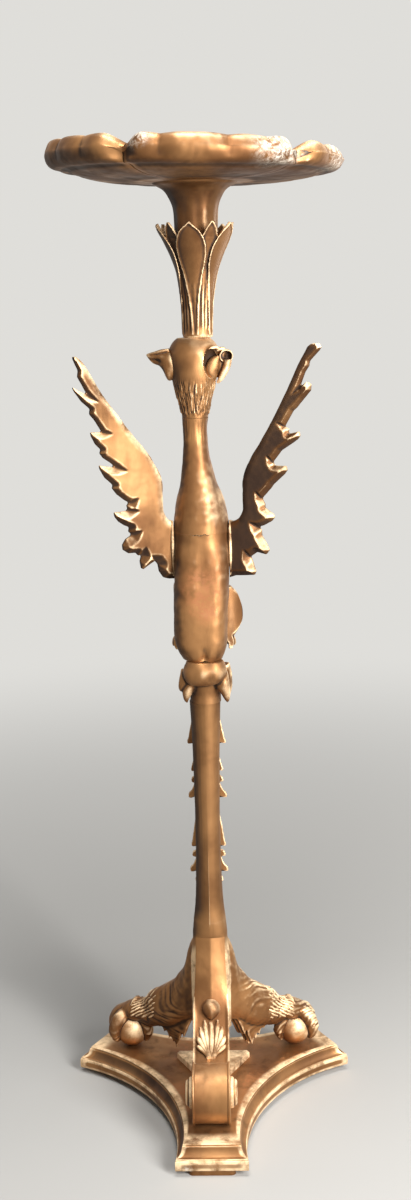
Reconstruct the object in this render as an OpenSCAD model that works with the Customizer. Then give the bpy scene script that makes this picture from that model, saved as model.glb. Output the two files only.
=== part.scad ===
// Vase stand: a carved and gilt winged beast on a slender column, three feet and a hollow-sided plinth.
// Millimetres, Z up. The origin is on the floor, on the axis of the column.
// The rolled foot points to -Y, and the beast faces +Y. Left and right are seen from -Y.

/* [Plinth] */
// Distance from the axis to each cut-off corner face
corner_reach = 187; // [178:1:200]
// Width of each cut-off corner face
corner_w = 90; // [82:1:98]
// Distance from the axis to the middle of each hollow side
side_waist = 85; // [80:1:90]
// Height of the pads under the corners
pad_h = 8; // [5:1:14]
// Width of each pad
pad_w = 58; // [44:1:68]
// Depth of each pad
pad_d = 36; // [28:1:42]
// Thickness of the lower board
board_t = 13.6; // [11:0.2:20]
// Thickness of the moulded upper board
mould_t = 16.4; // [13:0.2:22]
// How far the top of the moulding steps in from the lower board
mould_in = 12; // [8:0.5:14]
// Thickness of the raised three-cornered block
block_t = 8; // [5:1:14]
// Distance from the axis to each point of that block
block_reach = 61; // [50:1:66]

/* [Legs] */
// Height of the underside of the column above the plinth
leg_gap = 67; // [60:1:76]
// Height of the joint between each leg and the column
joint_h = 130; // [110:1:140]
// Width of each leg at the column
leg_w = 40; // [34:1:42]
// Distance from the axis to the middle of each gripped ball
ball_reach = 129; // [122:1:136]
// Radius of each gripped ball
ball_r = 23; // [21:0.5:24]
// Width of the ankle above the ball
ankle_w = 24; // [20:1:28]
// Length of the hair tuft under each leg
tuft_l = 30; // [20:1:36]

/* [Rolled foot] */
// Distance from the axis to the middle of the roll
roll_reach = 124.6; // [118:0.2:130]
// Radius of the roll
roll_r = 38.8; // [34:0.2:42]
// Width of the roll
roll_w = 48; // [44:1:52]
// Width of the strap above the roll
strap_w = 46; // [40:1:48]
// Width of the raised edge on each side of the roll
fillet_w = 4; // [2:0.5:6]
// Radius of the turned boss on each side of the roll
boss_r = 19; // [14:0.5:24]
// How far each boss stands out
boss_t = 9; // [5:0.5:12]
// Radius of the bead at the top of the strap
bead_r = 11; // [8:0.5:12]
// Thickness of the leaf on the strap
strap_leaf_t = 4; // [2.5:0.5:6]

/* [Column] */
// Height of the column from its underside to the capital
column_h = 444; // [420:1:470]
// Distance from the axis to the flat that each leg is glued to
core_flat = 17; // [16:0.5:19]
// Radius of the column at its slenderest
shaft_r = 16; // [15:0.5:18]
// Radius of the column under the capital
shaft_top_r = 19.5; // [18:0.5:21]
// Distance from the axis to the flat behind the husks
husk_flat = 13; // [11:0.5:14.5]
// Length of the upper drop of husks
husk_l = 128; // [116:1:132]
// Length of the lower drop of husks
husk_low_l = 114; // [100:1:118]
// Half width of the husks
husk_w = 27; // [20:1:32]
// Thickness of the husks
husk_t = 15; // [10:1:20]

/* [Capital] */
// Height of the capital
capital_h = 58; // [50:1:70]
// How far the curled leaf stands out towards the front
curl_reach = 43; // [34:1:48]
// Half width of the curled leaf
curl_w = 29; // [24:1:34]

/* [Beast] */
// Height of the body block
body_h = 159; // [140:1:175]
// Half width of the body at the haunches
body_w = 38.5; // [36:0.5:41]
// Distance from the axis to the flat that each wing is glued to
wing_flat = 34; // [32:0.5:34.5]
// Distance from the axis to the flat that the haunches are glued to
haunch_flat = 24; // [20:1:28]
// How far the haunches stand out beyond that flat
haunch_out = 30; // [22:1:36]
// Height of the neck block
neck_h = 139; // [120:1:155]
// Half width of the neck at its slenderest
neck_w = 14.6; // [13:0.2:17]
// How far the neck and head lean to the left
lean = 4; // [0:0.5:6]
// How far the rump is set over to the right
rump_shift = 1; // [0:0.5:3]
// Height of the head
head_h = 95; // [85:1:105]
// Half width of the head
head_w = 31; // [28:1:34]
// Distance from the middle of the head to the flat that each ear is glued to
ear_flat = 27; // [24:0.5:27.5]
// Length of the ear on the left
ear_left_l = 32; // [24:1:38]
// Length of the ear on the right
ear_right_l = 20; // [14:1:26]
// Distance from the axis to the flat that the muzzle is glued to
muzzle_flat = 25; // [22:1:27]
// Length of the muzzle
muzzle_l = 52; // [40:1:60]

/* [Wings] */
// Length of each wing along the ground
wing_reach = 120; // [108:1:130]
// Height of the left wing
wing_left_h = 278; // [250:1:300]
// Height of the right wing
wing_right_h = 288; // [250:1:300]
// Angle of the wings towards -Y
wing_sweep = 25; // [10:1:30]
// Thickness of each wing at its root
wing_t = 18; // [14:1:20]
// Height of the wing root's lower end below the joint of neck and body
wing_drop = 61; // [56:1:66]

/* [Top] */
// Height of the fluted stem
stem_h = 133; // [120:1:150]
// Radius of the stem on the head
stem_r = 18; // [16:0.5:20]
// Radius at the leaf tips of the stem
tip_r = 48.5; // [42:0.5:51]
// Depth of the cup inside the leaf tips
cup_d = 28; // [22:1:34]
// Radius of the trumpet inside the cup
trumpet_r = 26.5; // [24:0.5:28]
// Height of the trumpet from the cup to the underside of the petals
trumpet_h = 73; // [66:1:84]
// Radius of the flange under the petals
flange_r = 50; // [48:1:58]
// Radius of the whole top
top_r = 176.5; // [165:0.5:190]
// Height of the top from the flange to the crest of the lip
top_h = 42; // [38:1:48]
// Thickness of the petals at the flange
petal_t = 21; // [17:1:24]
// Radius of the plug in the middle of the petals
plug_r = 30; // [26:1:32]
// How far the stem and the top stand to the right of the axis
top_shift = 1; // [-2:0.5:3]
// How much higher the lip is on the left, and lower on the right
lip_tilt = 7; // [0:0.5:8]
// Depth of the scallops round the lip
scallop = 4; // [2:0.5:6]
// Direction of the petal nearest the front, from the right
petal_turn = 279; // [270:1:288]

/* [Dowels and screws] */
// Radius of the thick dowels
dowel_r = 7; // [6:0.5:7.5]
// Radius of the thin dowels
pin_r = 4; // [3:0.5:4.5]
// Length of the plinth screws
screw_l = 24; // [20:1:26]
// Distance from the axis to the plinth screws
screw_reach = 98; // [90:1:108]
// Distance from the middle of a corner to its plinth screws
screw_side = 18; // [12:1:24]
// Radius of the screw shanks
screw_r = 2.4; // [2:0.2:3]

/* [Fits] */
// Room round a dowel or a screw
fit_gap = 0.1; // [0.05:0.05:0.3]
// Thickness of a glue line
glue = 0.1; // [0.05:0.05:0.3]

/* [Hidden] */

gilt = "#b9853f";
bole = "#9a5a30";
bare_wood = "#a97f52";
steel = "#8a8a88";

board_z = pad_h;
mould_z = board_z + board_t;
top_z = mould_z + mould_t;
column_z = top_z + leg_gap;
joint_z = column_z + joint_h;
capital_z = column_z + column_h;
body_z = capital_z + capital_h;
neck_z = body_z + body_h;
head_z = neck_z + neck_h;
stem_z = head_z + head_h;
tips_z = stem_z + stem_h;
cup_z = tips_z - cup_d;
flange_z = cup_z + trumpet_h;
crest_z = flange_z + top_h;
roll_z = top_z + roll_r + glue;
ball_z = top_z + ball_r + glue;
sides = 24;
bore_r = dowel_r + fit_gap;
pin_bore_r = pin_r + fit_gap;

// Smooth value at t through keys of [t, value]
function key_at(k, t, i = 0) = (i >= len(k) - 2 || t < k[i + 1][0]) ? i : key_at(k, t, i + 1);
function slope(k, a, b) = (k[b][1] - k[a][1]) / (k[b][0] - k[a][0]);
function lean_at(k, i) = i == 0 ? slope(k, 0, 1) : i == len(k) - 1 ? slope(k, i - 1, i)
    : slope(k, i - 1, i + 1);
function curve(k, t) = let(i = key_at(k, t), h = k[i + 1][0] - k[i][0],
    u = min(max((t - k[i][0]) / h, 0), 1), m = lean_at(k, i) * h, n = lean_at(k, i + 1) * h)
    (2 * u * u * u - 3 * u * u + 1) * k[i][1] + (u * u * u - 2 * u * u + u) * m
    + (3 * u * u - 2 * u * u * u) * k[i + 1][1] + (u * u * u - u * u) * n;
function turned(p, a) = [p[0] * cos(a) - p[1] * sin(a), p[0] * sin(a) + p[1] * cos(a)];
function clamp(v, lo, hi) = min(max(v, lo), hi);

function middle(ring) = [for (k = [0 : 2]) let(v = [for (p = ring) p[k]]) (min(v) + max(v)) / 2];

// Closed skin through rings of points, each ring anticlockwise when seen from the last ring
module skin(rings) {
    n = len(rings[0]);
    m = len(rings);
    walls = [for (j = [0 : m - 2], i = [0 : n - 1])
        let(a = j * n + i, b = j * n + (i + 1) % n) each [[a, a + n, b + n], [a, b + n, b]]];
    ends = [for (i = [0 : n - 1]) let(j = (i + 1) % n)
        each [[n * m, i, j], [n * m + 1, (m - 1) * n + j, (m - 1) * n + i]]];
    polyhedron([for (r = rings) each r, middle(rings[0]), middle(rings[m - 1])],
        concat(walls, ends), convexity = 8);
}

// Level oval ring, held inside flats on its sides, front and back
function oval(cx, y0, y1, rx, z, x_max = 999, y_max = 999, e = 1) =
    [for (i = [0 : sides - 1]) let(a = 360 * i / sides, c = cos(a), s = sin(a))
        [clamp(cx + rx * sign(c) * pow(abs(c), e), -x_max, x_max),
        min((y0 + y1) / 2 + (y1 - y0) / 2 * sign(s) * pow(abs(s), e), y_max), z]];

module dowel(r, l) translate([0, 0, -l / 2]) cylinder(r = r, h = l, $fn = 32);
module at_corner(k) rotate([0, 0, 120 * k]) children();

// Outline of the plinth: three cut-off corners joined by hollow arcs
corner_along = corner_reach / 2 + corner_w / 2 * cos(30);
corner_far2 = corner_reach * corner_reach + corner_w * corner_w / 4;
side_centre = (corner_far2 - side_waist * side_waist) / (2 * (corner_along - side_waist));
side_r = side_centre - side_waist;
hollow_share = 0.7;
function arc_r(inset) = side_r + inset * hollow_share;
function corner_half(inset) = side_centre * cos(30)
    - sqrt(pow(arc_r(inset), 2) - pow(corner_reach - inset - side_centre / 2, 2));
function arc_half(inset) = asin((corner_half(inset) / 2 - (corner_reach - inset) * cos(30))
    / arc_r(inset));
function plinth_ring(inset, z, n = 14) = [for (k = [0 : 2], i = [0 : n])
    let(f = arc_half(inset) * (1 - 2 * i / n), p = turned([side_centre - arc_r(inset) * cos(f),
        arc_r(inset) * sin(f)], 120 * k - 30)) [p[0], p[1], z]];

module hollow_board(t) {
    linear_extrude(t) difference() {
        polygon([for (k = [0 : 2], s = [-1, 1]) turned([s * corner_half(0), -corner_reach], 120 * k)]);
        for (k = [0 : 2]) rotate(120 * k - 30) translate([side_centre, 0]) circle(r = side_r, $fn = 96);
    }
}

module screw_bores() {
    at_plinth_screws() translate([0, 0, -1]) cylinder(r = screw_r + fit_gap, h = screw_l + 1.5, $fn = 24);
    at_foot_screws() translate([0, 0, -1]) cylinder(r = screw_r + fit_gap, h = 100, $fn = 24);
}

module at_plinth_screws() {
    for (k = [0 : 2], s = [-1, 1]) at_corner(k) translate([s * screw_side, -screw_reach, board_z])
        children();
}

module at_foot_screws() {
    for (k = [0 : 2]) at_corner(k) translate([0, k == 0 ? -roll_reach : -ball_reach, board_z]) children();
}

module wood_screw(l) {
    cone = 3;
    translate([0, 0, 0.2]) cylinder(r1 = screw_r * 2, r2 = screw_r, h = cone, $fn = 24);
    translate([0, 0, cone]) cylinder(r = screw_r, h = l - cone - 3, $fn = 24);
    translate([0, 0, l - 3]) cylinder(r1 = screw_r, r2 = 0.6, h = 3, $fn = 24);
}

module pad_foot(k) {
    r = 6;
    depth = corner_reach - 4;
    color(bole) at_corner(k) translate([0, -depth + pad_d / 2, 0]) linear_extrude(pad_h - glue) union() {
        square([pad_w, pad_d - 2 * r], center = true);
        square([pad_w - 2 * r, pad_d], center = true);
        for (x = [-1, 1], y = [-1, 1])
            translate([x * (pad_w / 2 - r), y * (pad_d / 2 - r)]) circle(r = r, $fn = 32);
    }
}
module pad_foot_front() pad_foot(0);
module pad_foot_right() pad_foot(1);
module pad_foot_left() pad_foot(2);

module plinth_board() {
    color(bole) difference() {
        translate([0, 0, board_z]) hollow_board(board_t - glue);
        screw_bores();
        at_plinth_screws() translate([0, 0, -0.1]) cylinder(r = screw_r * 2 + 0.3, h = 3.4, $fn = 24);
        at_foot_screws() translate([0, 0, -0.1]) cylinder(r = screw_r * 2 + 0.3, h = 3.4, $fn = 24);
    }
}

// Hollow moulding between a narrow step and a square edge
module plinth_moulding() {
    rise = mould_t * 0.74;
    hollow = [for (i = [0 : 5]) [2 + (mould_in - 3.5) * sin(18 * i), rise * (1 - cos(18 * i)) + 1.2]];
    steps = concat([[1, 0], [1, 1.2]], hollow, [[mould_in, rise + 1.4], [mould_in, mould_t]]);
    color(gilt) difference() {
        skin([for (s = steps) plinth_ring(s[0], mould_z + s[1])]);
        screw_bores();
    }
}

module plinth_screws() color(steel) at_plinth_screws() wood_screw(screw_l);
module foot_screws() color(steel) at_foot_screws() wood_screw(board_t + mould_t + 20);

module centre_block() {
    chamfer = 3;
    color(gilt) translate([0, 0, top_z + glue]) linear_extrude(block_t)
        polygon([for (k = [0 : 2], s = [-1, 1]) turned([s * chamfer, -block_reach + chamfer * 2], 120 * k)]);
}

// Clawed leg, drawn towards -Y and turned to its corner
leg_keys = [[0, 1], [0.1, 0.90], [0.145, 0.78], [0.2, 0.706], [0.28, 0.645], [0.35, 0.589], [0.46, 0.541],
    [0.57, 0.497], [0.7, 0.445], [0.79, 0.375], [0.85, 0.36], [0.95, 0.37]];
belly_keys = [[0, 0.34], [0.2, 0.30], [0.34, 0.235], [0.42, 0.215], [0.6, 0.19], [0.7, 0.175],
    [0.85, 0.19], [0.95, 0.24]];

function leg_ring(t) = let(y = core_flat + glue + (ball_reach - core_flat) * t,
    high = top_z + (joint_z - top_z) * curve(leg_keys, t),
    low = top_z + (joint_z - top_z) * curve(belly_keys, t),
    w = curve([[0, leg_w / 2], [0.3, leg_w * 0.44], [0.6, leg_w * 0.40], [0.8, ankle_w / 2],
        [0.95, ankle_w * 0.55]], t))
    [for (i = [0 : 15]) let(a = 360 * i / 16)
        [w * sign(cos(a)) * pow(abs(cos(a)), 0.8), -y, (high + low) / 2 + (high - low) / 2 * sin(a)]];

module chain(points) {
    for (i = [0 : len(points) - 2]) hull() {
        translate([points[i][0], points[i][1], points[i][2]]) sphere(r = points[i][3], $fn = 12);
        translate([points[i + 1][0], points[i + 1][1], points[i + 1][2]])
            sphere(r = points[i + 1][3], $fn = 12);
    }
}

module clawed_leg(k) {
    b = ball_reach;
    c = ball_z;
    nail = top_z + 2.6;
    color(gilt) at_corner(k) difference() {
        union() {
            skin([for (t = [0, 0.06, 0.1, 0.145, 0.2, 0.28, 0.35, 0.46, 0.57, 0.7, 0.79, 0.85, 0.95])
                leg_ring(t)]);
            translate([0, -b, c]) sphere(r = ball_r, $fn = 24);
            chain([[0, -b + 18, c + 29, 11], [0, -b - 4, c + 29, 11.5], [0, -b - 20, c + 24, 11],
                [0, -b - 32, c + 11, 9], [0, -b - 36, c - 5, 8], [0, -b - 34, nail, 2.5]]);
            for (s = [-1, 1]) chain([[s * 6, -b + 14, c + 29, 10], [s * 18, -b - 4, c + 21, 9],
                [s * 25, -b - 20, c + 7, 8], [s * 26, -b - 26, c - 9, 6.5], [s * 22, -b - 22, nail, 2.5]]);
            chain([[0, -b + 22, c + 19, 9], [0, -b + 30, c + 3, 7], [0, -b + 31, c - 12, 5.5],
                [0, -b + 27, nail, 2.5]]);
            chain([[0, -b * 0.5, c + 29, 11], [0, -b * 0.45, c + 29 - tuft_l, 2]]);
        }
        translate([0, -b, board_z])
            cylinder(r = screw_r + 2 * fit_gap, h = board_t + mould_t + 22, $fn = 24);
    }
}
module leg_right() difference() {
    clawed_leg(1);
    at_corner(1) leg_bores();
}
module leg_left() difference() {
    clawed_leg(2);
    at_corner(2) leg_bores();
}

// Two dowels from the column into each leg
module at_leg_dowels() {
    for (z = [column_z + joint_h * 0.3, column_z + joint_h * 0.62])
        translate([0, -core_flat - 1, z]) rotate([90, 0, 0]) children();
}
module leg_bores() at_leg_dowels() dowel(pin_bore_r, 19.6);
module leg_dowels() {
    color(bare_wood) for (k = [0 : 2]) at_corner(k) at_leg_dowels() dowel(pin_r, 19);
}

// Top line of the strap: steep at the column, level where it meets the roll
function strap_y(u) = core_flat + glue + (roll_reach - core_flat) * u;
function strap_top(u) = roll_z + roll_r - 0.8 + (joint_z - roll_z - roll_r) * pow(1 - u, 3.9);
strap_steps = 20;
bead_u = 0.29;
bead_tilt = atan2((joint_z - roll_z - roll_r) * 3.9 * pow(1 - bead_u, 2.9), roll_reach - core_flat);

module scroll_leg() {
    r = roll_r;
    back = roll_reach - r * 0.9;
    under = [[back, roll_z - 6], [back * 0.86, roll_z + 9], [back * 0.6, column_z - 9],
        [core_flat + glue, column_z + 1]];
    profile = concat([for (i = [0 : strap_steps]) [strap_y(0.95 * i / strap_steps),
        strap_top(0.95 * i / strap_steps)]], [[roll_reach, roll_z]], under);
    color(gilt) difference() {
        union() {
            rotate([90, 0, -90]) translate([0, 0, -strap_w / 2]) linear_extrude(strap_w) polygon(profile);
            translate([0, -roll_reach, roll_z]) rotate([0, 90, 0]) rotate_extrude($fn = 96)
                polygon([[0, -roll_w / 2], [r - 1, -roll_w / 2], [r, -roll_w / 2 + 1],
                    [r, -roll_w / 2 + fillet_w], [r - 1.4, -roll_w / 2 + fillet_w + 0.6],
                    [r - 1.4, roll_w / 2 - fillet_w - 0.6], [r, roll_w / 2 - fillet_w],
                    [r, roll_w / 2 - 1], [r - 1, roll_w / 2], [0, roll_w / 2]]);
        }
        at_bead() cylinder(r = bead_r + fit_gap, h = 30, $fn = 48);
        at_bead() translate([0, 0, -12.5]) cylinder(r = pin_bore_r, h = 13, $fn = 32);
        for (s = [-1, 1]) at_boss(s) translate([0, 0, -11]) cylinder(r = pin_bore_r, h = 12, $fn = 32);
        translate([0, -roll_reach, board_z])
            cylinder(r = screw_r + fit_gap, h = board_t + mould_t + 22, $fn = 24);
        leg_bores();
    }
}

module at_bead() {
    translate([0, -strap_y(bead_u), strap_top(bead_u)]) rotate([bead_tilt, 0, 0])
        translate([0, 0, -2]) children();
}

module scroll_bead() {
    color(gilt) at_bead() {
        translate([0, 0, glue]) rotate_extrude($fn = 48) polygon([[0, 0], [bead_r - 0.5, 0],
            each [for (i = [0 : 8]) [bead_r * cos(11.25 * i), 3 + bead_r * 0.9 * sin(11.25 * i)]]]);
        translate([0, 0, -12]) cylinder(r = pin_r, h = 12.3, $fn = 32);
    }
}

module at_boss(s) translate([s * roll_w / 2, -roll_reach, roll_z]) rotate([0, s * 90, 0]) children();
module scroll_boss(s) {
    color(gilt) at_boss(s) {
        translate([0, 0, glue]) rotate_extrude($fn = 64) polygon([[0, 0], [boss_r, 0],
            [boss_r, boss_t * 0.35], [boss_r - 2, boss_t * 0.7], [boss_r - 5, boss_t * 0.94],
            [boss_r - 8, boss_t], [boss_r * 0.4, boss_t], [boss_r * 0.3, boss_t * 0.9], [0, boss_t * 0.9]]);
        translate([0, 0, -10.5]) cylinder(r = pin_r, h = 11, $fn = 32);
    }
}
module scroll_boss_left() scroll_boss(-1);
module scroll_boss_right() scroll_boss(1);

// Leaf lying on the strap, with three lobes on each side
module scroll_leaf() {
    half = strap_w / 2;
    rows = [[8, 0.42, 0.5], [9, 0.66, 0.9], [10, 0.76, 1], [11, 0.62, 1], [12, 0.78, 1], [13, 0.84, 1],
        [14, 0.66, 1], [15, 0.8, 1], [16, 0.7, 0.9], [17, 0.45, 0.7]];
    color(gilt) skin([for (row = rows) let(u = 0.95 * row[0] / strap_steps, w = half * row[1],
        t = strap_leaf_t * row[2], y = -strap_y(u), z = strap_top(u) + glue * 3,
        tilt = 35 * (1 - u)) [for (p = [[w, 0.4], [w * 0.6, t], [w * 0.2, t * 0.6], [0, t],
            [-w * 0.2, t * 0.6], [-w * 0.6, t], [-w, 0.4], [-w, 0], [w, 0]])
            [p[0], y - p[1] * sin(tilt), z + p[1] * cos(tilt)]]]);
}

// Column: a three-sided core between the legs, then a rounded three-cornered shaft
function core_r(a, corner) = min([for (k = [0 : 2]) min(
    cos(a - 120 * k + 90) > 0.05 ? core_flat / cos(a - 120 * k + 90) : 999,
    cos(a - 120 * k - 90) > 0.05 ? (core_flat + corner) / cos(a - 120 * k - 90) : 999)]);
function shaft_radius(z) = curve([[joint_z + 20, 20], [joint_z + 44, shaft_r + 2.2],
    [joint_z + 85, shaft_r + 0.5], [joint_z + 150, shaft_r], [joint_z + 210, shaft_r + 0.5],
    [capital_z - 40, shaft_top_r - 1.6], [capital_z, shaft_top_r]], z);
function column_ring(z, k, flat, corner = 6) = [for (i = [0 : sides - 1]) let(a = 360 * i / sides,
    r = k * shaft_radius(z) * (1 + 0.06 * cos(3 * (a + 90))) + (1 - k) * core_r(a, corner))
    [r * cos(a), min(r * sin(a), flat), z]];

module column_shaft() {
    rings = concat([column_ring(column_z, 0, 99, 10.5), column_ring(joint_z - 32, 0, 99, 10.5),
        column_ring(joint_z + 1, 0, 99), column_ring(joint_z + 8, 0.4, 99),
        column_ring(joint_z + 20, 1, 99),
        column_ring(joint_z + 32, 1, 99), column_ring(joint_z + 44, 1, husk_flat)],
        [for (i = [1 : 9]) let(z = joint_z + 44 + (capital_z - joint_z - 44) * i / 9)
            column_ring(z, 1, husk_flat)]);
    color(gilt) difference() {
        skin(rings);
        for (k = [0 : 2]) at_corner(k) leg_bores();
        translate([0, 0, capital_z]) dowel(bore_r, 70);
    }
}

// Drop of husks on the flat at the back of the column
module husk_drop(z_top, l) {
    rows = [[0, 0.3, 0.3], [0.1, 0.62, 0.8], [0.3, 0.7, 1], [0.45, 0.97, 1], [0.53, 0.62, 0.8],
        [0.64, 0.72, 0.9], [0.74, 0.82, 0.9], [0.81, 0.55, 0.7], [0.95, 0.93, 0.7], [1, 0.3, 0.3]];
    color(gilt) skin([for (i = [len(rows) - 1 : -1 : 0]) let(z = z_top - l * rows[i][0],
        w = husk_w * rows[i][1], t = husk_t * rows[i][2], y = husk_flat + glue)
        [for (p = [[w, 0], [w, 3], [w * 0.6, t], [w * 0.2, t * 0.7], [0, t], [-w * 0.2, t * 0.7],
            [-w * 0.6, t], [-w, 3], [-w, 0]]) [p[0], y + p[1], z]]]);
}
module husk_upper() husk_drop(capital_z - 8, husk_l);
module husk_lower() husk_drop(capital_z - 8 - husk_l - 2, husk_low_l);

// Capital: leaves that hang at the sides and curl out at the front
function capital_ring(t, side, front, back) = let(z = capital_z + glue + (capital_h - glue) * t)
    [for (i = [0 : sides - 1]) let(a = 360 * i / sides, c = cos(a), s = sin(a),
        reach = s < 0 ? front : back)
        [side * sign(c) * pow(abs(c), 0.85) + rump_shift * min(t * 4, 1), reach * s, z]];
module capital() {
    s = curl_w;
    f = curl_reach;
    rows = [[0, shaft_top_r, shaft_top_r], [0.1, s, f * 0.55], [0.24, s * 1.08, f * 0.62],
        [0.36, s * 0.92, f * 0.72], [0.46, s * 0.98, f * 0.93], [0.6, s, f], [0.78, s, f * 0.98],
        [0.9, s * 0.97, f * 0.86], [1, s * 0.93, f * 0.7]];
    color(gilt) difference() {
        skin([for (r = rows) capital_ring(r[0], r[1], r[2],
            r[0] == 0 ? shaft_top_r : shaft_top_r + 6 + 18 * r[0])]);
        translate([0, 0, capital_z]) dowel(bore_r, 70);
        translate([0, 0, body_z]) dowel(bore_r, 60);
    }
}
module capital_dowel() {
    color(bare_wood) translate([0, 0, (capital_z + body_z) / 2]) dowel(dowel_r, capital_h + 60);
}

// Body block: a narrow seat on the capital, haunches, then shoulders flat where the wings sit
function body_ring(t) = let(z = body_z + glue + (body_h - glue) * t, seat = t < 0.55)
    oval(rump_shift * curve([[0, 0], [0.1, 1], [0.5, 1], [0.6, 0], [1, 0]], t),
        curve([[0, -26], [0.05, -33], [0.12, -38], [0.25, -42], [0.5, -40], [0.8, -36], [1, -33]], t),
        curve([[0, 28], [0.3, 36], [0.62, 34], [0.8, 45], [0.9, 45], [1, 42]], t),
        curve([[0, 25], [0.04, body_w - 8], [0.1, body_w - 3], [0.2, body_w - 0.5], [0.35, body_w - 0.5],
            [0.55, body_w - 1.5], [0.64, wing_flat + 3], [0.85, wing_flat + 3], [1, wing_flat + 1]], t), z,
        t > 0.6 ? wing_flat : 99, seat ? haunch_flat : 99, 0.92);

module body_block() {
    color(gilt) difference() {
        skin([for (t = [0, 0.04, 0.1, 0.2, 0.3, 0.4, 0.5, 0.549, 0.6, 0.601, 0.7, 0.8, 0.9, 1])
            body_ring(t)]);
        translate([0, 0, body_z]) dowel(bore_r, 60);
        translate([0, 0, neck_z]) dowel(bore_r, 60);
        wing_bores();
    }
}

// Haunch and clawed foot of the beast, glued to the flat of the body
module haunch(s) {
    rows = [[0.005, 27, 13, 0.95], [0.08, 28, 14, 1], [0.16, 28, 12, 0.85], [0.24, 27, 12, 0.62],
        [0.34, 27, 16, 0.8], [0.46, 26, 19, 0.92], [0.56, 25, 19, 0.95], [0.68, 24, 17, 0.85],
        [0.8, 23, 12, 0.6], [0.9, 22, 6, 0.3]];
    h = body_h * 0.55;
    color(gilt) skin([for (r = rows) let(y = haunch_flat + glue)
        [for (i = [0 : 15]) let(a = 360 * i / 16) [s * (r[1] - 1) + 7 * clamp(r[0] * 4 - 0.6, 0, 1)
            + r[2] * cos(a),
            y + max(haunch_out * r[3] * sin(a), 0), body_z + glue * 2 + h * r[0]]]]);
}
module haunch_left() haunch(-1);
module haunch_right() haunch(1);

// Wing: a smooth front edge and a stepped edge of feather tips, as shares of its reach and height
front_left = [[0, 0.266], [0.067, 0.277], [0.117, 0.299], [0.133, 0.335], [0.121, 0.371],
    [0.117, 0.414], [0.142, 0.471], [0.2, 0.529], [0.283, 0.586], [0.4, 0.651], [0.517, 0.712],
    [0.642, 0.781], [0.75, 0.856], [0.858, 0.935], [0.942, 0.978]];
tips_left = [[0, 0], [0.092, 0.018], [0.35, 0.068], [0.25, 0.169], [0.542, 0.176], [0.367, 0.306],
    [0.608, 0.32], [0.458, 0.464], [0.775, 0.529], [0.55, 0.63], [0.842, 0.673], [0.8, 0.791],
    [1.042, 0.874], [1.025, 0.939], [0.992, 1]];
front_right = [[0, 0.257], [0.075, 0.26], [0.142, 0.271], [0.192, 0.292], [0.208, 0.33],
    [0.217, 0.378], [0.233, 0.42], [0.258, 0.469], [0.3, 0.514], [0.358, 0.549], [0.458, 0.608],
    [0.55, 0.674], [0.658, 0.757], [0.767, 0.847], [0.942, 0.962]];
tips_right = [[0, 0], [0.133, 0.021], [0.333, 0.028], [0.242, 0.111], [0.492, 0.125], [0.333, 0.198],
    [0.55, 0.278], [0.417, 0.33], [0.683, 0.476], [0.508, 0.51], [0.833, 0.615], [0.667, 0.653],
    [0.95, 0.809], [0.842, 0.833], [1.025, 1]];
wing_z = neck_z - wing_drop;

function wing_ring(s, h, i) = let(a = s < 0 ? front_left[i] : front_right[i],
    b = s < 0 ? tips_left[i] : tips_right[i], thin = 1 - 0.65 * i / 14,
    t = wing_t / 2 * thin, turn = i == 0 ? 0 : wing_sweep)
    [for (p = [[0, 0], [0.18, -0.9], [0.5, -1], [0.85, -0.5], [1, 0], [0.85, 0.5], [0.5, 1], [0.18, 0.9]])
        let(q = a + (b - a) * p[0], d = wing_reach * q[0], off = t * p[1])
        [s * (wing_flat + glue + d * cos(wing_sweep) + off * sin(turn)),
        -d * sin(wing_sweep) + off * cos(turn), wing_z + h * q[1]]];

module wing(s, h) {
    rings = [for (i = [0 : 14]) wing_ring(s, h, i)];
    color(gilt) difference() {
        skin(s < 0 ? rings : [for (r = rings) [for (i = [7 : -1 : 0]) r[i]]]);
        wing_bores();
    }
}
module wing_left() wing(-1, wing_left_h);
module wing_right() wing(1, wing_right_h);

module at_wing_dowels() {
    for (s = [-1, 1], z = [wing_z + 20, wing_z + 44])
        translate([s * wing_flat, 0, z]) rotate([0, 0, -s * wing_sweep]) rotate([0, 90, 0]) children();
}
module wing_bores() at_wing_dowels() dowel(pin_bore_r, 27);
module wing_dowels() color(bare_wood) at_wing_dowels() dowel(pin_r, 26);

// Neck block: shoulders that draw in to a slender neck
function neck_ring(t) = let(z = neck_z + glue + (neck_h - glue) * t)
    oval(-lean * curve([[0, 0], [0.3, 0.15], [0.6, 0.9], [0.85, 1.2], [1, 1.1]], t),
        curve([[0, -33], [0.28, -29], [0.42, -24], [0.62, -19], [0.88, -16], [1, -17]], t),
        curve([[0, 42], [0.28, 36], [0.42, 29], [0.62, 21], [0.88, 17], [1, 18]], t),
        curve([[0, wing_flat + 1], [0.13, wing_flat - 0.5], [0.28, 29.5], [0.42, neck_w + 8.6],
            [0.62, neck_w + 3.2], [0.78, neck_w + 0.8], [0.9, neck_w], [1, neck_w + 0.6]], t), z,
        wing_flat, 99, 0.96);

module neck_block() {
    color(gilt) difference() {
        skin([for (i = [0 : 13]) neck_ring(i / 13)]);
        translate([0, 0, neck_z]) dowel(bore_r, 60);
        translate([-lean * 1.1, 0, head_z]) dowel(bore_r, 50);
    }
}
module neck_dowel() color(bare_wood) translate([0, 0, neck_z]) dowel(dowel_r, 59);
module head_dowel() color(bare_wood) translate([-lean * 1.1, 0, head_z]) dowel(dowel_r, 49);
module stem_dowel() color(bare_wood) translate([top_shift, 0, stem_z]) dowel(dowel_r, 59);
module hub_dowel() color(bare_wood) translate([top_shift, 0, cup_z]) dowel(dowel_r, 59);

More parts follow.
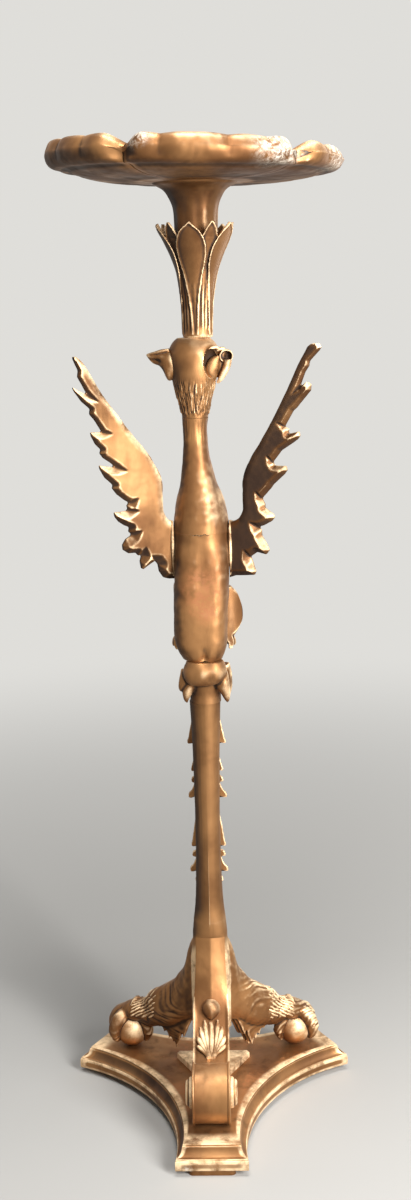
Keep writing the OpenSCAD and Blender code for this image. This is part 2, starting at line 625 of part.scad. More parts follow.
// Head: pear-shaped skull with flats for the ears and the muzzle
function head_ring(t) = let(z = head_z + glue + (head_h - glue) * t,
    r = oval(0, curve([[0, -17], [0.25, -23], [0.5, -28], [0.7, -30], [0.86, -28], [1, -19]], t),
        curve([[0, 18], [0.25, 27], [0.5, 31], [0.7, 31], [0.86, 27], [1, 19]], t),
        curve([[0, neck_w + 0.6], [0.1, neck_w + 2.4], [0.28, head_w * 0.7], [0.48, head_w * 0.87],
            [0.66, head_w * 0.97], [0.84, head_w], [0.93, head_w * 0.93], [1, stem_r + 4]], t), z,
        t > 0.45 && t < 0.95 ? ear_flat : 99, t > 0.2 && t < 0.8 ? muzzle_flat : 99, 0.95))
    [for (p = r) [p[0] - lean * 1.1, p[1], p[2]]];

module head() {
    color(gilt) difference() {
        skin([for (t = [0, 0.1, 0.199, 0.24, 0.35, 0.449, 0.46, 0.58, 0.7, 0.79, 0.81, 0.88, 0.949, 0.96, 1])
            head_ring(t)]);
        translate([-lean * 1.1, 0, head_z]) dowel(bore_r, 50);
        translate([top_shift, 0, stem_z]) dowel(bore_r, 60);
    }
}

// Pointed ear, drawn outwards from the flat on the head
module ear(s, l) {
    rows = [[0, 13, 5, 0], [0.12, 17, 6.5, 0], [0.3, 19, 7, 1], [0.5, 16, 6, 3], [0.7, 11, 5, 6],
        [0.86, 6, 3.5, 9], [1, 1.5, 1.2, 11]];
    x0 = ear_flat + glue;
    rings = [for (r = rows) [for (i = [0 : 11]) let(a = 30 * i) [s * (x0 + l * r[0]) - lean * 1.1,
        -1 - s * r[2] * cos(a) - r[3] * 0.5, head_z + head_h * 0.68 + r[3] + r[1] * sin(a)]]];
    color(gilt) skin([for (r = rings) [for (i = [11 : -1 : 0]) r[i]]]);
}
module ear_left() ear(-1, ear_left_l);
module ear_right() ear(1, ear_right_l);

module muzzle() {
    rows = [[0, 19, 21, 0], [0.2, 19, 20, -2], [0.42, 16, 16, -5], [0.62, 13, 12.5, -9],
        [0.8, 11.5, 11, -13], [0.93, 9, 8.5, -16], [1, 4, 4, -18]];
    color(gilt) skin([for (r = rows) [for (i = [0 : 15]) let(a = 22.5 * i) [-r[1] * cos(a) - lean * 1.1,
        muzzle_flat + glue + muzzle_l * r[0], head_z + head_h * 0.5 + r[3] + r[2] * sin(a)]]]);
}

// Fluted stem: ten ribs that open into ten pointed leaves round a cup
lobes = 10;
leaf_turn = 261;
function stem_ring(t, r, wave, rise, z0 = stem_z + glue) = [for (i = [0 : 6 * lobes - 1])
    let(a = 360 * i / (6 * lobes), w = pow(abs(cos(lobes / 2 * (a - leaf_turn))), 0.8),
        q = r * (1 - wave * (1 - w))) [q * cos(a) + top_shift, q * sin(a),
        z0 + (stem_h - glue) * t - rise * (1 - w)]];
module fluted_stem() {
    rows = [[0, stem_r, 0], [0.03, stem_r + 1, 0], [0.06, stem_r, 0.06], [0.3, stem_r + 0.6, 0.1],
        [0.55, stem_r + 5, 0.1], [0.72, stem_r + 11.5, 0.1], [0.84, tip_r - 9, 0.1]];
    inner = trumpet_r + 3.5;
    color(gilt) difference() {
        skin(concat([for (r = rows) stem_ring(r[0], r[1], r[2], 0)],
            [stem_ring(0.94, tip_r - 2, 0.1, cup_d * 0.35), stem_ring(1, tip_r, 0.14, cup_d * 0.62),
            stem_ring(0.99, tip_r - 3.5, 0.14, cup_d * 0.56),
            stem_ring(0.91, tip_r - 8, 0.1, cup_d * 0.30)],
            [stem_ring((cup_z + 4 - stem_z) / stem_h, inner + 2, 0, 0),
            stem_ring((cup_z - stem_z) / stem_h, inner, 0, 0)]));
        translate([top_shift, 0, stem_z]) dowel(bore_r, 60);
        translate([top_shift, 0, cup_z]) dowel(bore_r, 60);
    }
}

// Trumpet that opens into the flange, with the plug between the petals
module top_hub() {
    r = trumpet_r;
    h = trumpet_h;
    color(gilt) difference() {
        translate([top_shift, 0, cup_z + glue]) rotate_extrude($fn = 96) polygon([[0, 0], [r - 1.5, 0],
            [r - 0.5, h * 0.1], [r - 0.2, h * 0.35], [r + 0.4, h * 0.54], [r + 2.5, h * 0.68],
            [r + 7.5, h * 0.82], [r + 12, h * 0.895], [r + 17, h - 4.6], [flange_r - 1, h - 2.4],
            [flange_r, h - 1.6], [flange_r, h - 2 * glue], [plug_r, h - 2 * glue],
            [plug_r, h + petal_t - glue], [0, h + petal_t - glue]]);
        translate([top_shift, 0, cup_z]) dowel(bore_r, 60);
        peg_bores();
    }
}

module at_pegs() {
    for (k = [0 : 4]) translate([top_shift, 0, flange_z]) rotate([0, 0, petal_turn + 72 * k])
        translate([(plug_r + flange_r) / 2 - 1, 0, 7.4]) children();
}
module peg_bores() at_pegs() dowel(pin_bore_r, 21);
module petal_pegs() color(bare_wood) at_pegs() dowel(pin_r, 20);

// Petal: a fifth of the dished top, with a rolled and scalloped lip
petal_steps = 20;
function petal_ring(a, turn) = let(u = a / 36, wave = abs(cos(a * 12.5)), west = -cos(a + turn),
    grow = scallop * (pow(wave, 0.7) - 0.5) - 3 * pow(abs(u), 4), R = top_r - scallop / 2 + grow,
    c = crest_z - 1.5 * (1 - wave) - 2 * pow(abs(u), 3) + lip_tilt * west,
    low = (lip_tilt + 1) * max(west, 0), f = flange_z + petal_t)
    [for (p = [[plug_r + fit_gap * 3, flange_z], [flange_r + 2, flange_z],
        [R * 0.64, flange_z + 1 + low * 0.35], [R - 24, flange_z + 6 + low * 0.9],
        [R - 19, flange_z + 9 + low], [R - 10, flange_z + 9 + low], [R - 2, flange_z + 16 + low],
        [R, flange_z + 24 + low / 2 + lip_tilt * west / 2], [R - 2, c - 8], [R - 8, c - 1], [R - 13, c],
        [R - 19, c - 3], [R - 30, c - 13], [R * 0.6, f], [plug_r + fit_gap * 3, f]])
        [p[0] * cos(a), p[0] * sin(a), p[1]]];

module petal(k) {
    turn = petal_turn + 72 * k;
    color(gilt) difference() {
        translate([top_shift, 0, 0]) rotate([0, 0, turn])
            skin([for (i = [0 : petal_steps]) petal_ring(-36 + 72 * i / petal_steps, turn)]);
        peg_bores();
    }
}
module petal_front() petal(0);
module petal_right() petal(1);
module petal_back_right() petal(2);
module petal_back_left() petal(3);
module petal_left() petal(4);

pad_foot_front();
pad_foot_right();
pad_foot_left();
plinth_board();
plinth_moulding();
plinth_screws();
foot_screws();
centre_block();
leg_left();
leg_right();
scroll_leg();
scroll_leaf();
scroll_bead();
scroll_boss_left();
scroll_boss_right();
column_shaft();
leg_dowels();
husk_upper();
husk_lower();
capital();
capital_dowel();
body_block();
haunch_left();
haunch_right();
wing_left();
wing_right();
wing_dowels();
neck_dowel();
neck_block();
head_dowel();
head();
ear_left();
ear_right();
muzzle();
stem_dowel();
fluted_stem();
hub_dowel();
top_hub();
petal_pegs();
petal_front();
petal_right();
petal_back_right();
petal_back_left();
petal_left();
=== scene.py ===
# Vase stand: a carved and gilt winged beast that carries a five-petalled top on its head.
# The camera stands behind the beast, as in the photograph. Shapes are worked out in mm and stored in metres.
import bpy
import bmesh
import math
import numpy as np
from mathutils import Matrix, Vector, noise
from mathutils.bvhtree import BVHTree


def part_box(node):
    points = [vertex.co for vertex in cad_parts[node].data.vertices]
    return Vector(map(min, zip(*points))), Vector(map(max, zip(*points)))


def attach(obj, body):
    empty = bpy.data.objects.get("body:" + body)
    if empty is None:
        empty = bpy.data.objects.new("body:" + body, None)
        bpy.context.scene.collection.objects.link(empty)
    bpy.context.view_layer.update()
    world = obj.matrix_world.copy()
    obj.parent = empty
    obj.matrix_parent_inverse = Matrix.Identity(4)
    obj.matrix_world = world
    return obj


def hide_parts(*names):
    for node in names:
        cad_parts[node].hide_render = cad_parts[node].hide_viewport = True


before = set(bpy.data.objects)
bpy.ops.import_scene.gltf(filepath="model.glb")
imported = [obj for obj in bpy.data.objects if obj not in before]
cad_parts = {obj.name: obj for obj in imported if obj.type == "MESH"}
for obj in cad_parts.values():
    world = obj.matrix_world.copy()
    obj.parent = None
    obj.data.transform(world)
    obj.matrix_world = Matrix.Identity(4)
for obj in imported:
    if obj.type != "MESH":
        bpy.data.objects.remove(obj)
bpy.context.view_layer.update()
scene = bpy.context.scene
scene.view_settings.view_transform = "Standard"
mm = 0.001


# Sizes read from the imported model
def lowOf(node, axis=2):
    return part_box(node)[0][axis] / mm


def highOf(node, axis=2):
    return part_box(node)[1][axis] / mm


plinthTop = highOf("plinth_moulding")
columnLow = lowOf("column_shaft")
columnHigh = highOf("column_shaft")
bodyLow = lowOf("body_block")
neckLow = lowOf("neck_block")
headLow = lowOf("head")
stemLow = lowOf("fluted_stem")
hubLow = lowOf("top_hub")
petalLow = lowOf("petal_front")
jointHigh = highOf("leg_right")


# Small tools for shaping
def clamp(value, low=0.0, high=1.0):
    return max(low, min(high, value))


def ease(value, low, high):
    t = clamp((value - low) / (high - low))
    return t * t * (3 - 2 * t)


def along(keys, t):
    # smooth value at t through (t, value) keys
    i = 0
    while i < len(keys) - 2 and t >= keys[i + 1][0]:
        i += 1

    def slope(a, b):
        return (keys[b][1] - keys[a][1]) / (keys[b][0] - keys[a][0])

    def lean(k):
        return slope(max(k - 1, 0), min(k + 1, len(keys) - 1))

    step = keys[i + 1][0] - keys[i][0]
    u = clamp((t - keys[i][0]) / step)
    m, n = lean(i) * step, lean(i + 1) * step
    return ((2 * u**3 - 3 * u**2 + 1) * keys[i][1] + (u**3 - 2 * u**2 + u) * m
            + (3 * u**2 - 2 * u**3) * keys[i + 1][1] + (u**3 - u**2) * n)


def rough(point, size, seed=0.0):
    # soft noise between -1 and 1 with lumps of about this size in mm
    return noise.noise(Vector((point[0] / size + seed, point[1] / size - seed, point[2] / size + seed * 2)))


def turned(point, degrees):
    c, s = math.cos(math.radians(degrees)), math.sin(math.radians(degrees))
    return Vector((point[0] * c - point[1] * s, point[0] * s + point[1] * c, point[2]))


def round01(a):
    # cosine and sine of an angle in degrees
    return math.cos(math.radians(a)), math.sin(math.radians(a))


def circle(steps):
    return [round01(360 * i / steps) for i in range(steps)]


def columns(rows, t):
    # smooth values at t of every column of (t, value, value) rows
    return [along([(row[0], row[k]) for row in rows], t) for k in range(1, len(rows[0]))]


def ballProfile(radius, steps):
    # half a circle from its lowest point to its highest, for a lathe
    return [(radius * s, -radius * c) for c, s in (round01(180 * i / steps) for i in range(steps + 1))]


def newStore():
    return {"points": [], "faces": []}


def addLoft(store, rings, capped=True):
    # closed rings of equal length, joined into a tube with fans for its ends
    base = len(store["points"])
    n, m = len(rings[0]), len(rings)
    for ring in rings:
        store["points"].extend(Vector(p) for p in ring)
    for j in range(m - 1):
        for i in range(n):
            a, b = base + j * n + i, base + j * n + (i + 1) % n
            store["faces"].append((a, b, b + n, a + n))
    if capped:
        for first, ring in ((base, rings[0]), (base + (m - 1) * n, rings[-1])):
            middle = len(store["points"])
            store["points"].append(sum((Vector(p) for p in ring), Vector()) / n)
            for i in range(n):
                store["faces"].append((first + i, first + (i + 1) % n, middle))


def addLathe(store, profile, place, steps=64, shape=None):
    # profile of (radius, height) pairs; place is a matrix from the turned axis to the object
    rings = []
    for r, h in profile:
        ring = []
        for i in range(steps):
            a = 360 * i / steps
            c, s = round01(a)
            q = shape(r, h, a) if shape else (r, h)
            ring.append(place @ Vector((q[0] * c, q[0] * s, q[1])))
        rings.append(ring)
    addLoft(store, rings)


def smoothPath(points, steps):
    # evenly stepped curve through points of any number of values
    keys = [[(i / (len(points) - 1), p[k]) for i, p in enumerate(points)] for k in range(len(points[0]))]
    return [[along(key, j / steps) for key in keys] for j in range(steps + 1)]


def addTube(store, points, steps=16, sides=12, flat=1.0, flatAxis=None):
    # tapered tube through (x, y, z, radius) points, flattened across flatAxis
    path = smoothPath(points, steps)
    rings = []
    for j, p in enumerate(path):
        here = Vector(p[:3])
        ahead = Vector(path[min(j + 1, steps)][:3])
        behind = Vector(path[max(j - 1, 0)][:3])
        run = (ahead - behind).normalized()
        hint = Vector(flatAxis) if flatAxis else Vector((0.3, 0.2, 1)).cross(run)
        side = (hint - run * hint.dot(run)).normalized()
        across = run.cross(side)
        r = max(p[3], 0.15)
        rings.append([here + side * (r * flat * c) + across * (r * s) for c, s in circle(sides)])
    addLoft(store, rings)


def addBlade(store, spine, side, up, widths, thick=3.0, rib=0.5, edge=0.7):
    # leaf: raised rib, sunk flanks, rolled edges; spine points with their own side and up directions
    half = [(1, 0.1), (0.93, edge), (0.78, edge * 0.9), (0.5, 0.28), (0.2, 0.3)]
    section = [(-a, b) for a, b in half] + [(0, 0.3 + rib)] + half[::-1] + [(0.6, -0.5), (0, -0.8), (-0.6, -0.5)]
    rings = []
    for p, s, u, w in zip(spine, side, up, widths):
        t = thick * clamp(w / 4 + 0.25)
        rings.append([p + s * (w * a) + u * (t * b) for a, b in section])
    addLoft(store, rings)


def makeObject(name, store, sharp=38):
    mesh = bpy.data.meshes.new(name)
    mesh.from_pydata([tuple(p * mm) for p in store["points"]], [], store["faces"])
    mesh.validate()
    work = bmesh.new()
    work.from_mesh(mesh)
    bmesh.ops.remove_doubles(work, verts=work.verts, dist=0.00001)
    bmesh.ops.recalc_face_normals(work, faces=work.faces)
    work.to_mesh(mesh)
    work.free()
    obj = bpy.data.objects.new(name, mesh)
    scene.collection.objects.link(obj)
    mesh.polygons.foreach_set("use_smooth", [True] * len(mesh.polygons))
    mesh.set_sharp_from_angle(angle=math.radians(sharp))
    return obj


def applied(obj):
    # the modifiers' result becomes the object's own plain mesh
    graph = bpy.context.evaluated_depsgraph_get()
    graph.update()
    mesh = bpy.data.meshes.new_from_object(obj.evaluated_get(graph))
    old = obj.data
    obj.modifiers.clear()
    obj.data = mesh
    bpy.data.meshes.remove(old)
    mesh.name = obj.name
    return obj


def fuse(obj, voxel, soften=2):
    # one carved skin over all the overlapping forms
    skin = obj.modifiers.new("fuse", "REMESH")
    skin.mode = "VOXEL"
    skin.voxel_size = voxel * mm
    skin.use_smooth_shade = True
    if soften:
        smooth = obj.modifiers.new("soften", "SMOOTH")
        smooth.factor = 0.5
        smooth.iterations = soften
    return applied(obj)


def limit(obj, axis, low=-math.inf, high=math.inf):
    # holds every point of the mesh between two values in mm
    for v in obj.data.vertices:
        v.co[axis] = clamp(v.co[axis], low * mm, high * mm)


def spin(obj, degrees):
    for v in obj.data.vertices:
        v.co = turned(v.co, degrees)


def carve(obj, depth):
    # depth(point, normal) in mm moves each point along its normal
    mesh = obj.data
    moves = [(v.co / mm, v.normal.copy()) for v in mesh.vertices]
    for v, (p, n) in zip(mesh.vertices, moves):
        v.co = (p + n * depth(p, n)) * mm
    mesh.update()


def markRelief(obj, reach=3.5, height=0.9, seams=(), calm=None, tilt=0.36):
    # stores how far each point stands above or below its surroundings, from -1 to 1, plus painted light and shade
    # from the way the point faces
    # seams are heights where two blocks meet flush, so their edges don't catch wear
    mesh = obj.data
    count = len(mesh.vertices)
    co = np.empty(count * 3)
    mesh.vertices.foreach_get("co", co)
    co = co.reshape(-1, 3)
    normal = np.empty(count * 3)
    mesh.vertices.foreach_get("normal", normal)
    normal = normal.reshape(-1, 3)
    edges = np.empty(len(mesh.edges) * 2, dtype=np.int64)
    mesh.edges.foreach_get("vertices", edges)
    edges = edges.reshape(-1, 2)
    length = float(np.mean(np.linalg.norm(co[edges[:, 0]] - co[edges[:, 1]], axis=1))) / mm
    steps = int(clamp((reach / max(length, 0.2)) ** 2 * 2, 4, 90))
    ends = np.concatenate([edges[:, 0], edges[:, 1]])
    others = np.concatenate([edges[:, 1], edges[:, 0]])
    degree = np.maximum(np.bincount(ends, minlength=count), 1)
    soft = co.copy()
    for _ in range(steps):
        sums = [np.bincount(ends, weights=soft[others, k], minlength=count) for k in range(3)]
        mean = np.stack(sums, axis=1)
        soft = 0.4 * soft + 0.6 * mean / degree[:, None]
    relief = ((co - soft) * normal).sum(axis=1) / mm / height
    plain = min(float(np.median(relief)), 0.12)
    kept = np.ones(count)
    for seam in seams:
        kept = np.minimum(kept, np.clip((np.abs(co[:, 2] / mm - seam) - 1.7 * reach) / (2 * reach), 0, 1))
    if calm:
        kept = np.minimum(kept, calm(co[:, 0] / mm, co[:, 1] / mm, co[:, 2] / mm))
    # painted light and shade: what faces up and to the +x side, where the key lamp stands, is made lighter; what
    # faces down or to the -x side is made darker
    side = np.where(normal[:, 0] > 0, 0.4, 1.5) * normal[:, 0]
    relief = plain + (relief - plain + tilt * normal[:, 2]) * kept + tilt * (side - 0.1)
    layer = mesh.attributes.new("relief", "FLOAT", "POINT")
    layer.data.foreach_set("value", np.clip(relief, -1, 1).astype(np.float32))


def settle(piece, nodes, finish, reach=3.5, height=0.9, seams=(), calm=None,
           tilt=0.36):
    markRelief(piece, reach, height, seams, calm, tilt)
    piece.data.materials.clear()
    piece.data.materials.append(finish)
    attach(piece, "root")
    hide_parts(*nodes)
    print("made", piece.name, len(piece.data.polygons), "faces")
    return piece


# Camera, lamps, floor
view = {"distance": 1.73175, "height": 1.05783, "turn": 1.22, "yaw": -0.11, "down": 12.35, "roll": -1.24,
        "lens": 42.78}


def makeCamera():
    v = view
    c, s = round01(v["turn"])
    place = Vector((v["distance"] * s, -v["distance"] * c, v["height"]))
    hc, hs = round01(v["turn"] + v["yaw"])
    dc, ds = round01(v["down"])
    ahead = Vector((-hs * dc, hc * dc, -ds))
    right = ahead.cross(Vector((0, 0, 1))).normalized()
    up = right.cross(ahead)
    rc, rs = round01(v["roll"])
    right, up = right * rc + up * rs, up * rc - right * rs
    data = bpy.data.cameras.new("camera")
    data.lens = v["lens"]
    data.sensor_width = 36
    data.clip_start, data.clip_end = 0.05, 100
    cam = bpy.data.objects.new("camera", data)
    scene.collection.objects.link(cam)
    cam.matrix_world = Matrix((
        (right.x, up.x, -ahead.x, place.x), (right.y, up.y, -ahead.y, place.y),
        (right.z, up.z, -ahead.z, place.z), (0, 0, 0, 1)))
    scene.camera = cam


lamps = {
    "key": {"place": (1.25, -1.6, 1.25), "aim": (0, 0, 0.72), "wide": 0.7, "tall": 1.4, "watts": 112},
    "front": {"place": (-0.5, -2.4, 1.9), "aim": (0, 0, 0.7), "wide": 0.5, "tall": 0.5, "watts": 4},
    "left": {"place": (-1.7, 0.7, 1.3), "aim": (0, 0, 0.6), "wide": 0.4, "tall": 1.2, "watts": 2},
    "rear": {"place": (1.2, 1.5, 1.2), "aim": (0, 0, 0.8), "wide": 0.4, "tall": 1.4, "watts": 6},
    "above": {"place": (0.1, -0.6, 2.8), "aim": (0, 0, 0.6), "wide": 1.1, "tall": 0.9, "watts": 52},
}


def makeLamps():
    for name, lamp in lamps.items():
        data = bpy.data.lights.new("lamp_" + name, "AREA")
        data.shape = "RECTANGLE"
        data.size = lamp["wide"]
        data.size_y = lamp["tall"]
        data.energy = lamp["watts"]
        obj = bpy.data.objects.new("lamp_" + name, data)
        obj.location = lamp["place"]
        aim = Vector(lamp["aim"]) - Vector(lamp["place"])
        obj.rotation_euler = aim.to_track_quat("-Z", "Y").to_euler()
        scene.collection.objects.link(obj)


backdrop = {"colour": (0.74, 0.73, 0.70, 1), "floor": (0.41, 0.40, 0.38, 1), "bounce": (0.10, 0.08, 0.06, 1),
            "sky": (1, 0.985, 0.96, 1), "lit": 0.07, "fadeFrom": 0.35, "fadeTo": 2.4, "reach": 24, "sides": 72}


def addNode(tree, kind, given=None, **settings):
    # a new node with its settings; each input is given a socket to link from, or a value
    node = tree.nodes.new(kind)
    for name, value in settings.items():
        setattr(node, name, value)
    for key, value in (given or {}).items():
        if isinstance(value, bpy.types.NodeSocket):
            tree.links.new(value, node.inputs[key])
        else:
            node.inputs[key].default_value = value
    return node


def mixShaders(tree, share, first, second):
    return addNode(tree, "ShaderNodeMixShader", {0: share, 1: first.outputs[0], 2: second.outputs[0]})


def seenRay(tree):
    # 1 for rays from the camera, in a reflection or through glass
    rays = addNode(tree, "ShaderNodeLightPath").outputs
    seen = rays["Is Camera Ray"]
    for kind in ("Is Glossy Ray", "Is Transmission Ray"):
        seen = addNode(tree, "ShaderNodeMath", {0: seen, 1: rays[kind]}, operation="MAXIMUM").outputs[0]
    return seen


def makeWorld():
    world = bpy.data.worlds.new("studio")
    scene.world = world
    world.use_nodes = True
    tree = world.node_tree
    tree.nodes.clear()
    soft = addNode(tree, "ShaderNodeBackground", {"Color": backdrop["sky"], "Strength": backdrop["lit"]})
    plain = addNode(tree, "ShaderNodeBackground", {"Color": backdrop["colour"], "Strength": 1})
    mix = mixShaders(tree, seenRay(tree), soft, plain)
    addNode(tree, "ShaderNodeOutputWorld", {"Surface": mix.outputs[0]})


def makeFloor():
    store = newStore()
    n = backdrop["sides"]
    rings = []
    for r in (0.2, 0.6, 1.2, 2.4, 6, backdrop["reach"]):
        rings.append([Vector((r * c, r * s, 0)) / mm for c, s in circle(n)])
    addLoft(store, rings[::-1], capped=False)
    middle = len(store["points"])
    store["points"].append(Vector((0, 0, 0)))
    for i in range(n):
        store["faces"].append((middle - n + i, middle - n + (i + 1) % n, middle))
    floor = makeObject("studio_floor", store)
    if floor.data.polygons[0].normal.z < 0:
        floor.data.flip_normals()
    finish = bpy.data.materials.new("pale_floor")
    finish.use_nodes = True
    tree = finish.node_tree
    tree.nodes.clear()
    place = addNode(tree, "ShaderNodeTexCoord")
    length = addNode(tree, "ShaderNodeVectorMath", {0: place.outputs["Object"]}, operation="LENGTH")
    ends = {"Value": length.outputs["Value"], "From Min": backdrop["fadeFrom"], "From Max": backdrop["fadeTo"]}
    fade = addNode(tree, "ShaderNodeMapRange", ends, interpolation_type="SMOOTHSTEP")
    lit = addNode(tree, "ShaderNodeBsdfDiffuse", {"Color": backdrop["floor"]})
    plain = addNode(tree, "ShaderNodeEmission", {"Color": backdrop["colour"]})
    seen = seenRay(tree)
    share = addNode(tree, "ShaderNodeMath", {0: seen, 1: fade.outputs[0]}, operation="MULTIPLY")
    mix = mixShaders(tree, share.outputs[0], lit, plain)
    # rays that leave the stand meet a darker floor than the camera sees
    dark = addNode(tree, "ShaderNodeBsdfDiffuse", {"Color": backdrop["bounce"]})
    whole = mixShaders(tree, seen, dark, mix)
    addNode(tree, "ShaderNodeOutputMaterial", {"Surface": whole.outputs[0]})
    floor.data.materials.append(finish)


makeCamera()
makeLamps()
makeWorld()
makeFloor()
print("camera, lamps and floor are up")


# Finishes
class Finish:
    # one node material, with short calls for the nodes it uses again and again
    def __init__(self, name):
        self.material = bpy.data.materials.new(name)
        self.material.use_nodes = True
        self.tree = self.material.node_tree
        self.shader = self.tree.nodes["Principled BSDF"]
        self.place = self.tree.nodes.new("ShaderNodeTexCoord").outputs["Object"]

    def link(self, source, target):
        self.tree.links.new(source, target)

    def add(self, kind, given=None, **settings):
        return addNode(self.tree, "ShaderNode" + kind, given, **settings).outputs

    def speckle(self, scale, detail=4, rough=0.55, warp=0.0, stretch=None):
        source = self.place
        if stretch:
            source = self.add("Mapping", {"Vector": source, "Scale": stretch})["Vector"]
        given = {"Vector": source, "Scale": scale, "Detail": detail, "Roughness": rough, "Distortion": warp}
        return self.add("TexNoise", given)["Fac"]

    def cells(self, scale):
        given = {"Vector": self.place, "Scale": scale}
        return self.add("TexVoronoi", given, feature="DISTANCE_TO_EDGE")["Distance"]

    def span(self, value, low, high, start=0.0, end=1.0):
        given = {"Value": value, "From Min": low, "From Max": high, "To Min": start, "To Max": end}
        return self.add("MapRange", given, interpolation_type="SMOOTHSTEP")["Result"]

    def sums(self, kind, a, b):
        return self.add("Math", {0: a, 1: b}, operation=kind, use_clamp=kind in ("ADD", "MULTIPLY"))[0]

    def relief(self):
        return self.add("Attribute", attribute_name="relief")["Fac"]

    def mixed(self, factor, a, b):
        given = {"Factor": factor}
        for name, value in (("A", a), ("B", b)):
            given[name] = (*value, 1) if isinstance(value, tuple) else value
        return self.add("Mix", given, data_type="RGBA")["Result"]

    def spot(self, centre, radius, ragged):
        # 1 at centre, 0 beyond the radius, with a ragged edge
        away = self.add("VectorMath", {0: self.place, 1: [c * mm for c in centre]}, operation="DISTANCE")
        near = self.span(away["Value"], radius * mm, radius * mm * 0.25)
        return self.sums("MULTIPLY", near, self.span(ragged, 0.38, 0.62))

    def bump(self, height, strength, depth):
        given = {"Height": height, "Strength": strength, "Distance": depth * mm}
        if self.shader.inputs["Normal"].is_linked:
            given["Normal"] = self.shader.inputs["Normal"].links[0].from_socket
        self.link(self.add("Bump", given)["Normal"], self.shader.inputs["Normal"])


gold = {"light": (0.38, 0.188, 0.072), "mid": (0.17, 0.072, 0.025), "deep": (0.058, 0.021, 0.007),
        "hollow": (0.016, 0.006, 0.002), "wear_and_highlight": (0.96, 0.70, 0.42), "bole": (0.30, 0.115, 0.040),
        "gesso": (0.80, 0.72, 0.60), "metallic": 0.75}


def gildedWood(name, age=0.5, bole=0.2, boleSpots=(), gessoSpots=(), paintedShadeSpots=(), grain=(1, 1, 0.25),
               tone=1.0, dull=0.0):
    f = Finish(name)
    g = dict(gold)
    for key in ("light", "mid"):
        g[key] = tuple(value * tone for value in gold[key])
    cloud = f.speckle(9, 4, 0.55, 0.3)
    streak = f.speckle(46, 4, 0.55, 0.2, grain)
    fleck = f.speckle(420, 3, 0.7)
    relief = f.relief()
    # soft clouds of thinner and thicker gold, then the rubbed bole under it
    colour = f.mixed(f.span(cloud, 0.36, 0.64), g["mid"], g["light"])
    thin = f.sums("MULTIPLY", f.span(streak, 0.54 - 0.06 * age, 0.80), 0.7)
    colour = f.mixed(thin, colour, g["deep"])
    rubbed = f.speckle(38, 6, 0.7, 0.2)
    patches = f.span(rubbed, 0.74 - 0.25 * bole, 0.86 - 0.2 * bole)
    boleMask = f.sums("MULTIPLY", patches, f.span(fleck, 0.35, 0.6))
    for x, y, z, radius in boleSpots:
        boleMask = f.sums("ADD", boleMask, f.spot((x, y, z), radius, f.speckle(110, 8, 0.8)))
    colour = f.mixed(boleMask, colour, g["bole"])
    # ridges are burnished bright, and tops and the +x side get a painted highlight in the same pale colour; hollows
    # get old dirt and painted shade, and undersides and the -x side painted shade, in one dark colour
    ridge = f.sums("MULTIPLY", f.span(relief, 0.10, 0.75), f.span(rubbed, 0.28, 0.62))
    colour = f.mixed(ridge, colour, g["wear_and_highlight"])
    hollow = f.sums("MULTIPLY", f.span(relief, -0.06, -0.6), 0.9)
    colour = f.mixed(hollow, colour, g["hollow"])
    # painted shade: these spots darken the inside of a hollow to the near-black of the hollows
    for x, y, z, radius in paintedShadeSpots:
        colour = f.mixed(f.spot((x, y, z), radius, cloud), colour, g["hollow"])
    chips = f.sums("MULTIPLY", f.span(f.speckle(120, 3, 0.6), 0.735, 0.765), f.span(relief, 0.05, 0.4))
    for x, y, z, radius in gessoSpots:
        chips = f.sums("ADD", chips, f.spot((x, y, z), radius, f.speckle(120, 6, 0.75, 0.5)))
    dirt = f.span(f.speckle(310, 5, 0.7), 0.42, 0.66, 0.0, 0.75)
    colour = f.mixed(chips, colour, f.mixed(dirt, g["gesso"], g["deep"]))
    f.link(colour, f.shader.inputs["Base Color"])
    # old dirt and painted shade, chips and bare bole don't shine as metal does; burnish and painted highlight shine
    # half as much
    matt = f.sums("MAXIMUM", hollow, f.sums("MULTIPLY", ridge, 0.5))
    matt = f.sums("MAXIMUM", matt, f.sums("MAXIMUM", chips, f.sums("MULTIPLY", boleMask, 0.8)))
    f.link(f.span(matt, 0.0, 1.0, g["metallic"], 0.0), f.shader.inputs["Metallic"])
    shine = f.sums("ADD", f.span(streak, 0.3, 0.7, 0.38 + dull, 0.56 + dull), f.sums("MULTIPLY", matt, 0.25))
    f.link(shine, f.shader.inputs["Roughness"])
    f.shader.inputs["Specular IOR Level"].default_value = 0.35
    f.bump(fleck, 0.14, 0.4)
    f.bump(streak, 0.12, 0.8)
    f.bump(f.span(f.cells(150), 0.0, 0.03), 0.05, 0.3)
    f.bump(chips, 0.5, -0.6)
    return f.material


def bareWood():
    f = Finish("bare_wood")
    rings = f.speckle(60, 5, 0.6, 0.3, (1, 1, 0.08))
    colour = f.mixed(f.span(rings, 0.35, 0.65), (0.36, 0.21, 0.10), (0.55, 0.37, 0.20))
    f.link(colour, f.shader.inputs["Base Color"])
    f.link(f.span(rings, 0.3, 0.7, 0.55, 0.75), f.shader.inputs["Roughness"])
    f.bump(rings, 0.25, 0.4)
    return f.material


def rustySteel():
    f = Finish("screw_steel")
    spots = f.speckle(300, 5, 0.7)
    colour = f.mixed(f.span(spots, 0.5, 0.66), (0.33, 0.32, 0.31), (0.16, 0.07, 0.035))
    f.link(colour, f.shader.inputs["Base Color"])
    f.link(f.span(spots, 0.45, 0.65, 0.95, 0.3), f.shader.inputs["Metallic"])
    f.link(f.span(spots, 0.4, 0.7, 0.32, 0.75), f.shader.inputs["Roughness"])
    f.bump(spots, 0.2, 0.2)
    return f.material


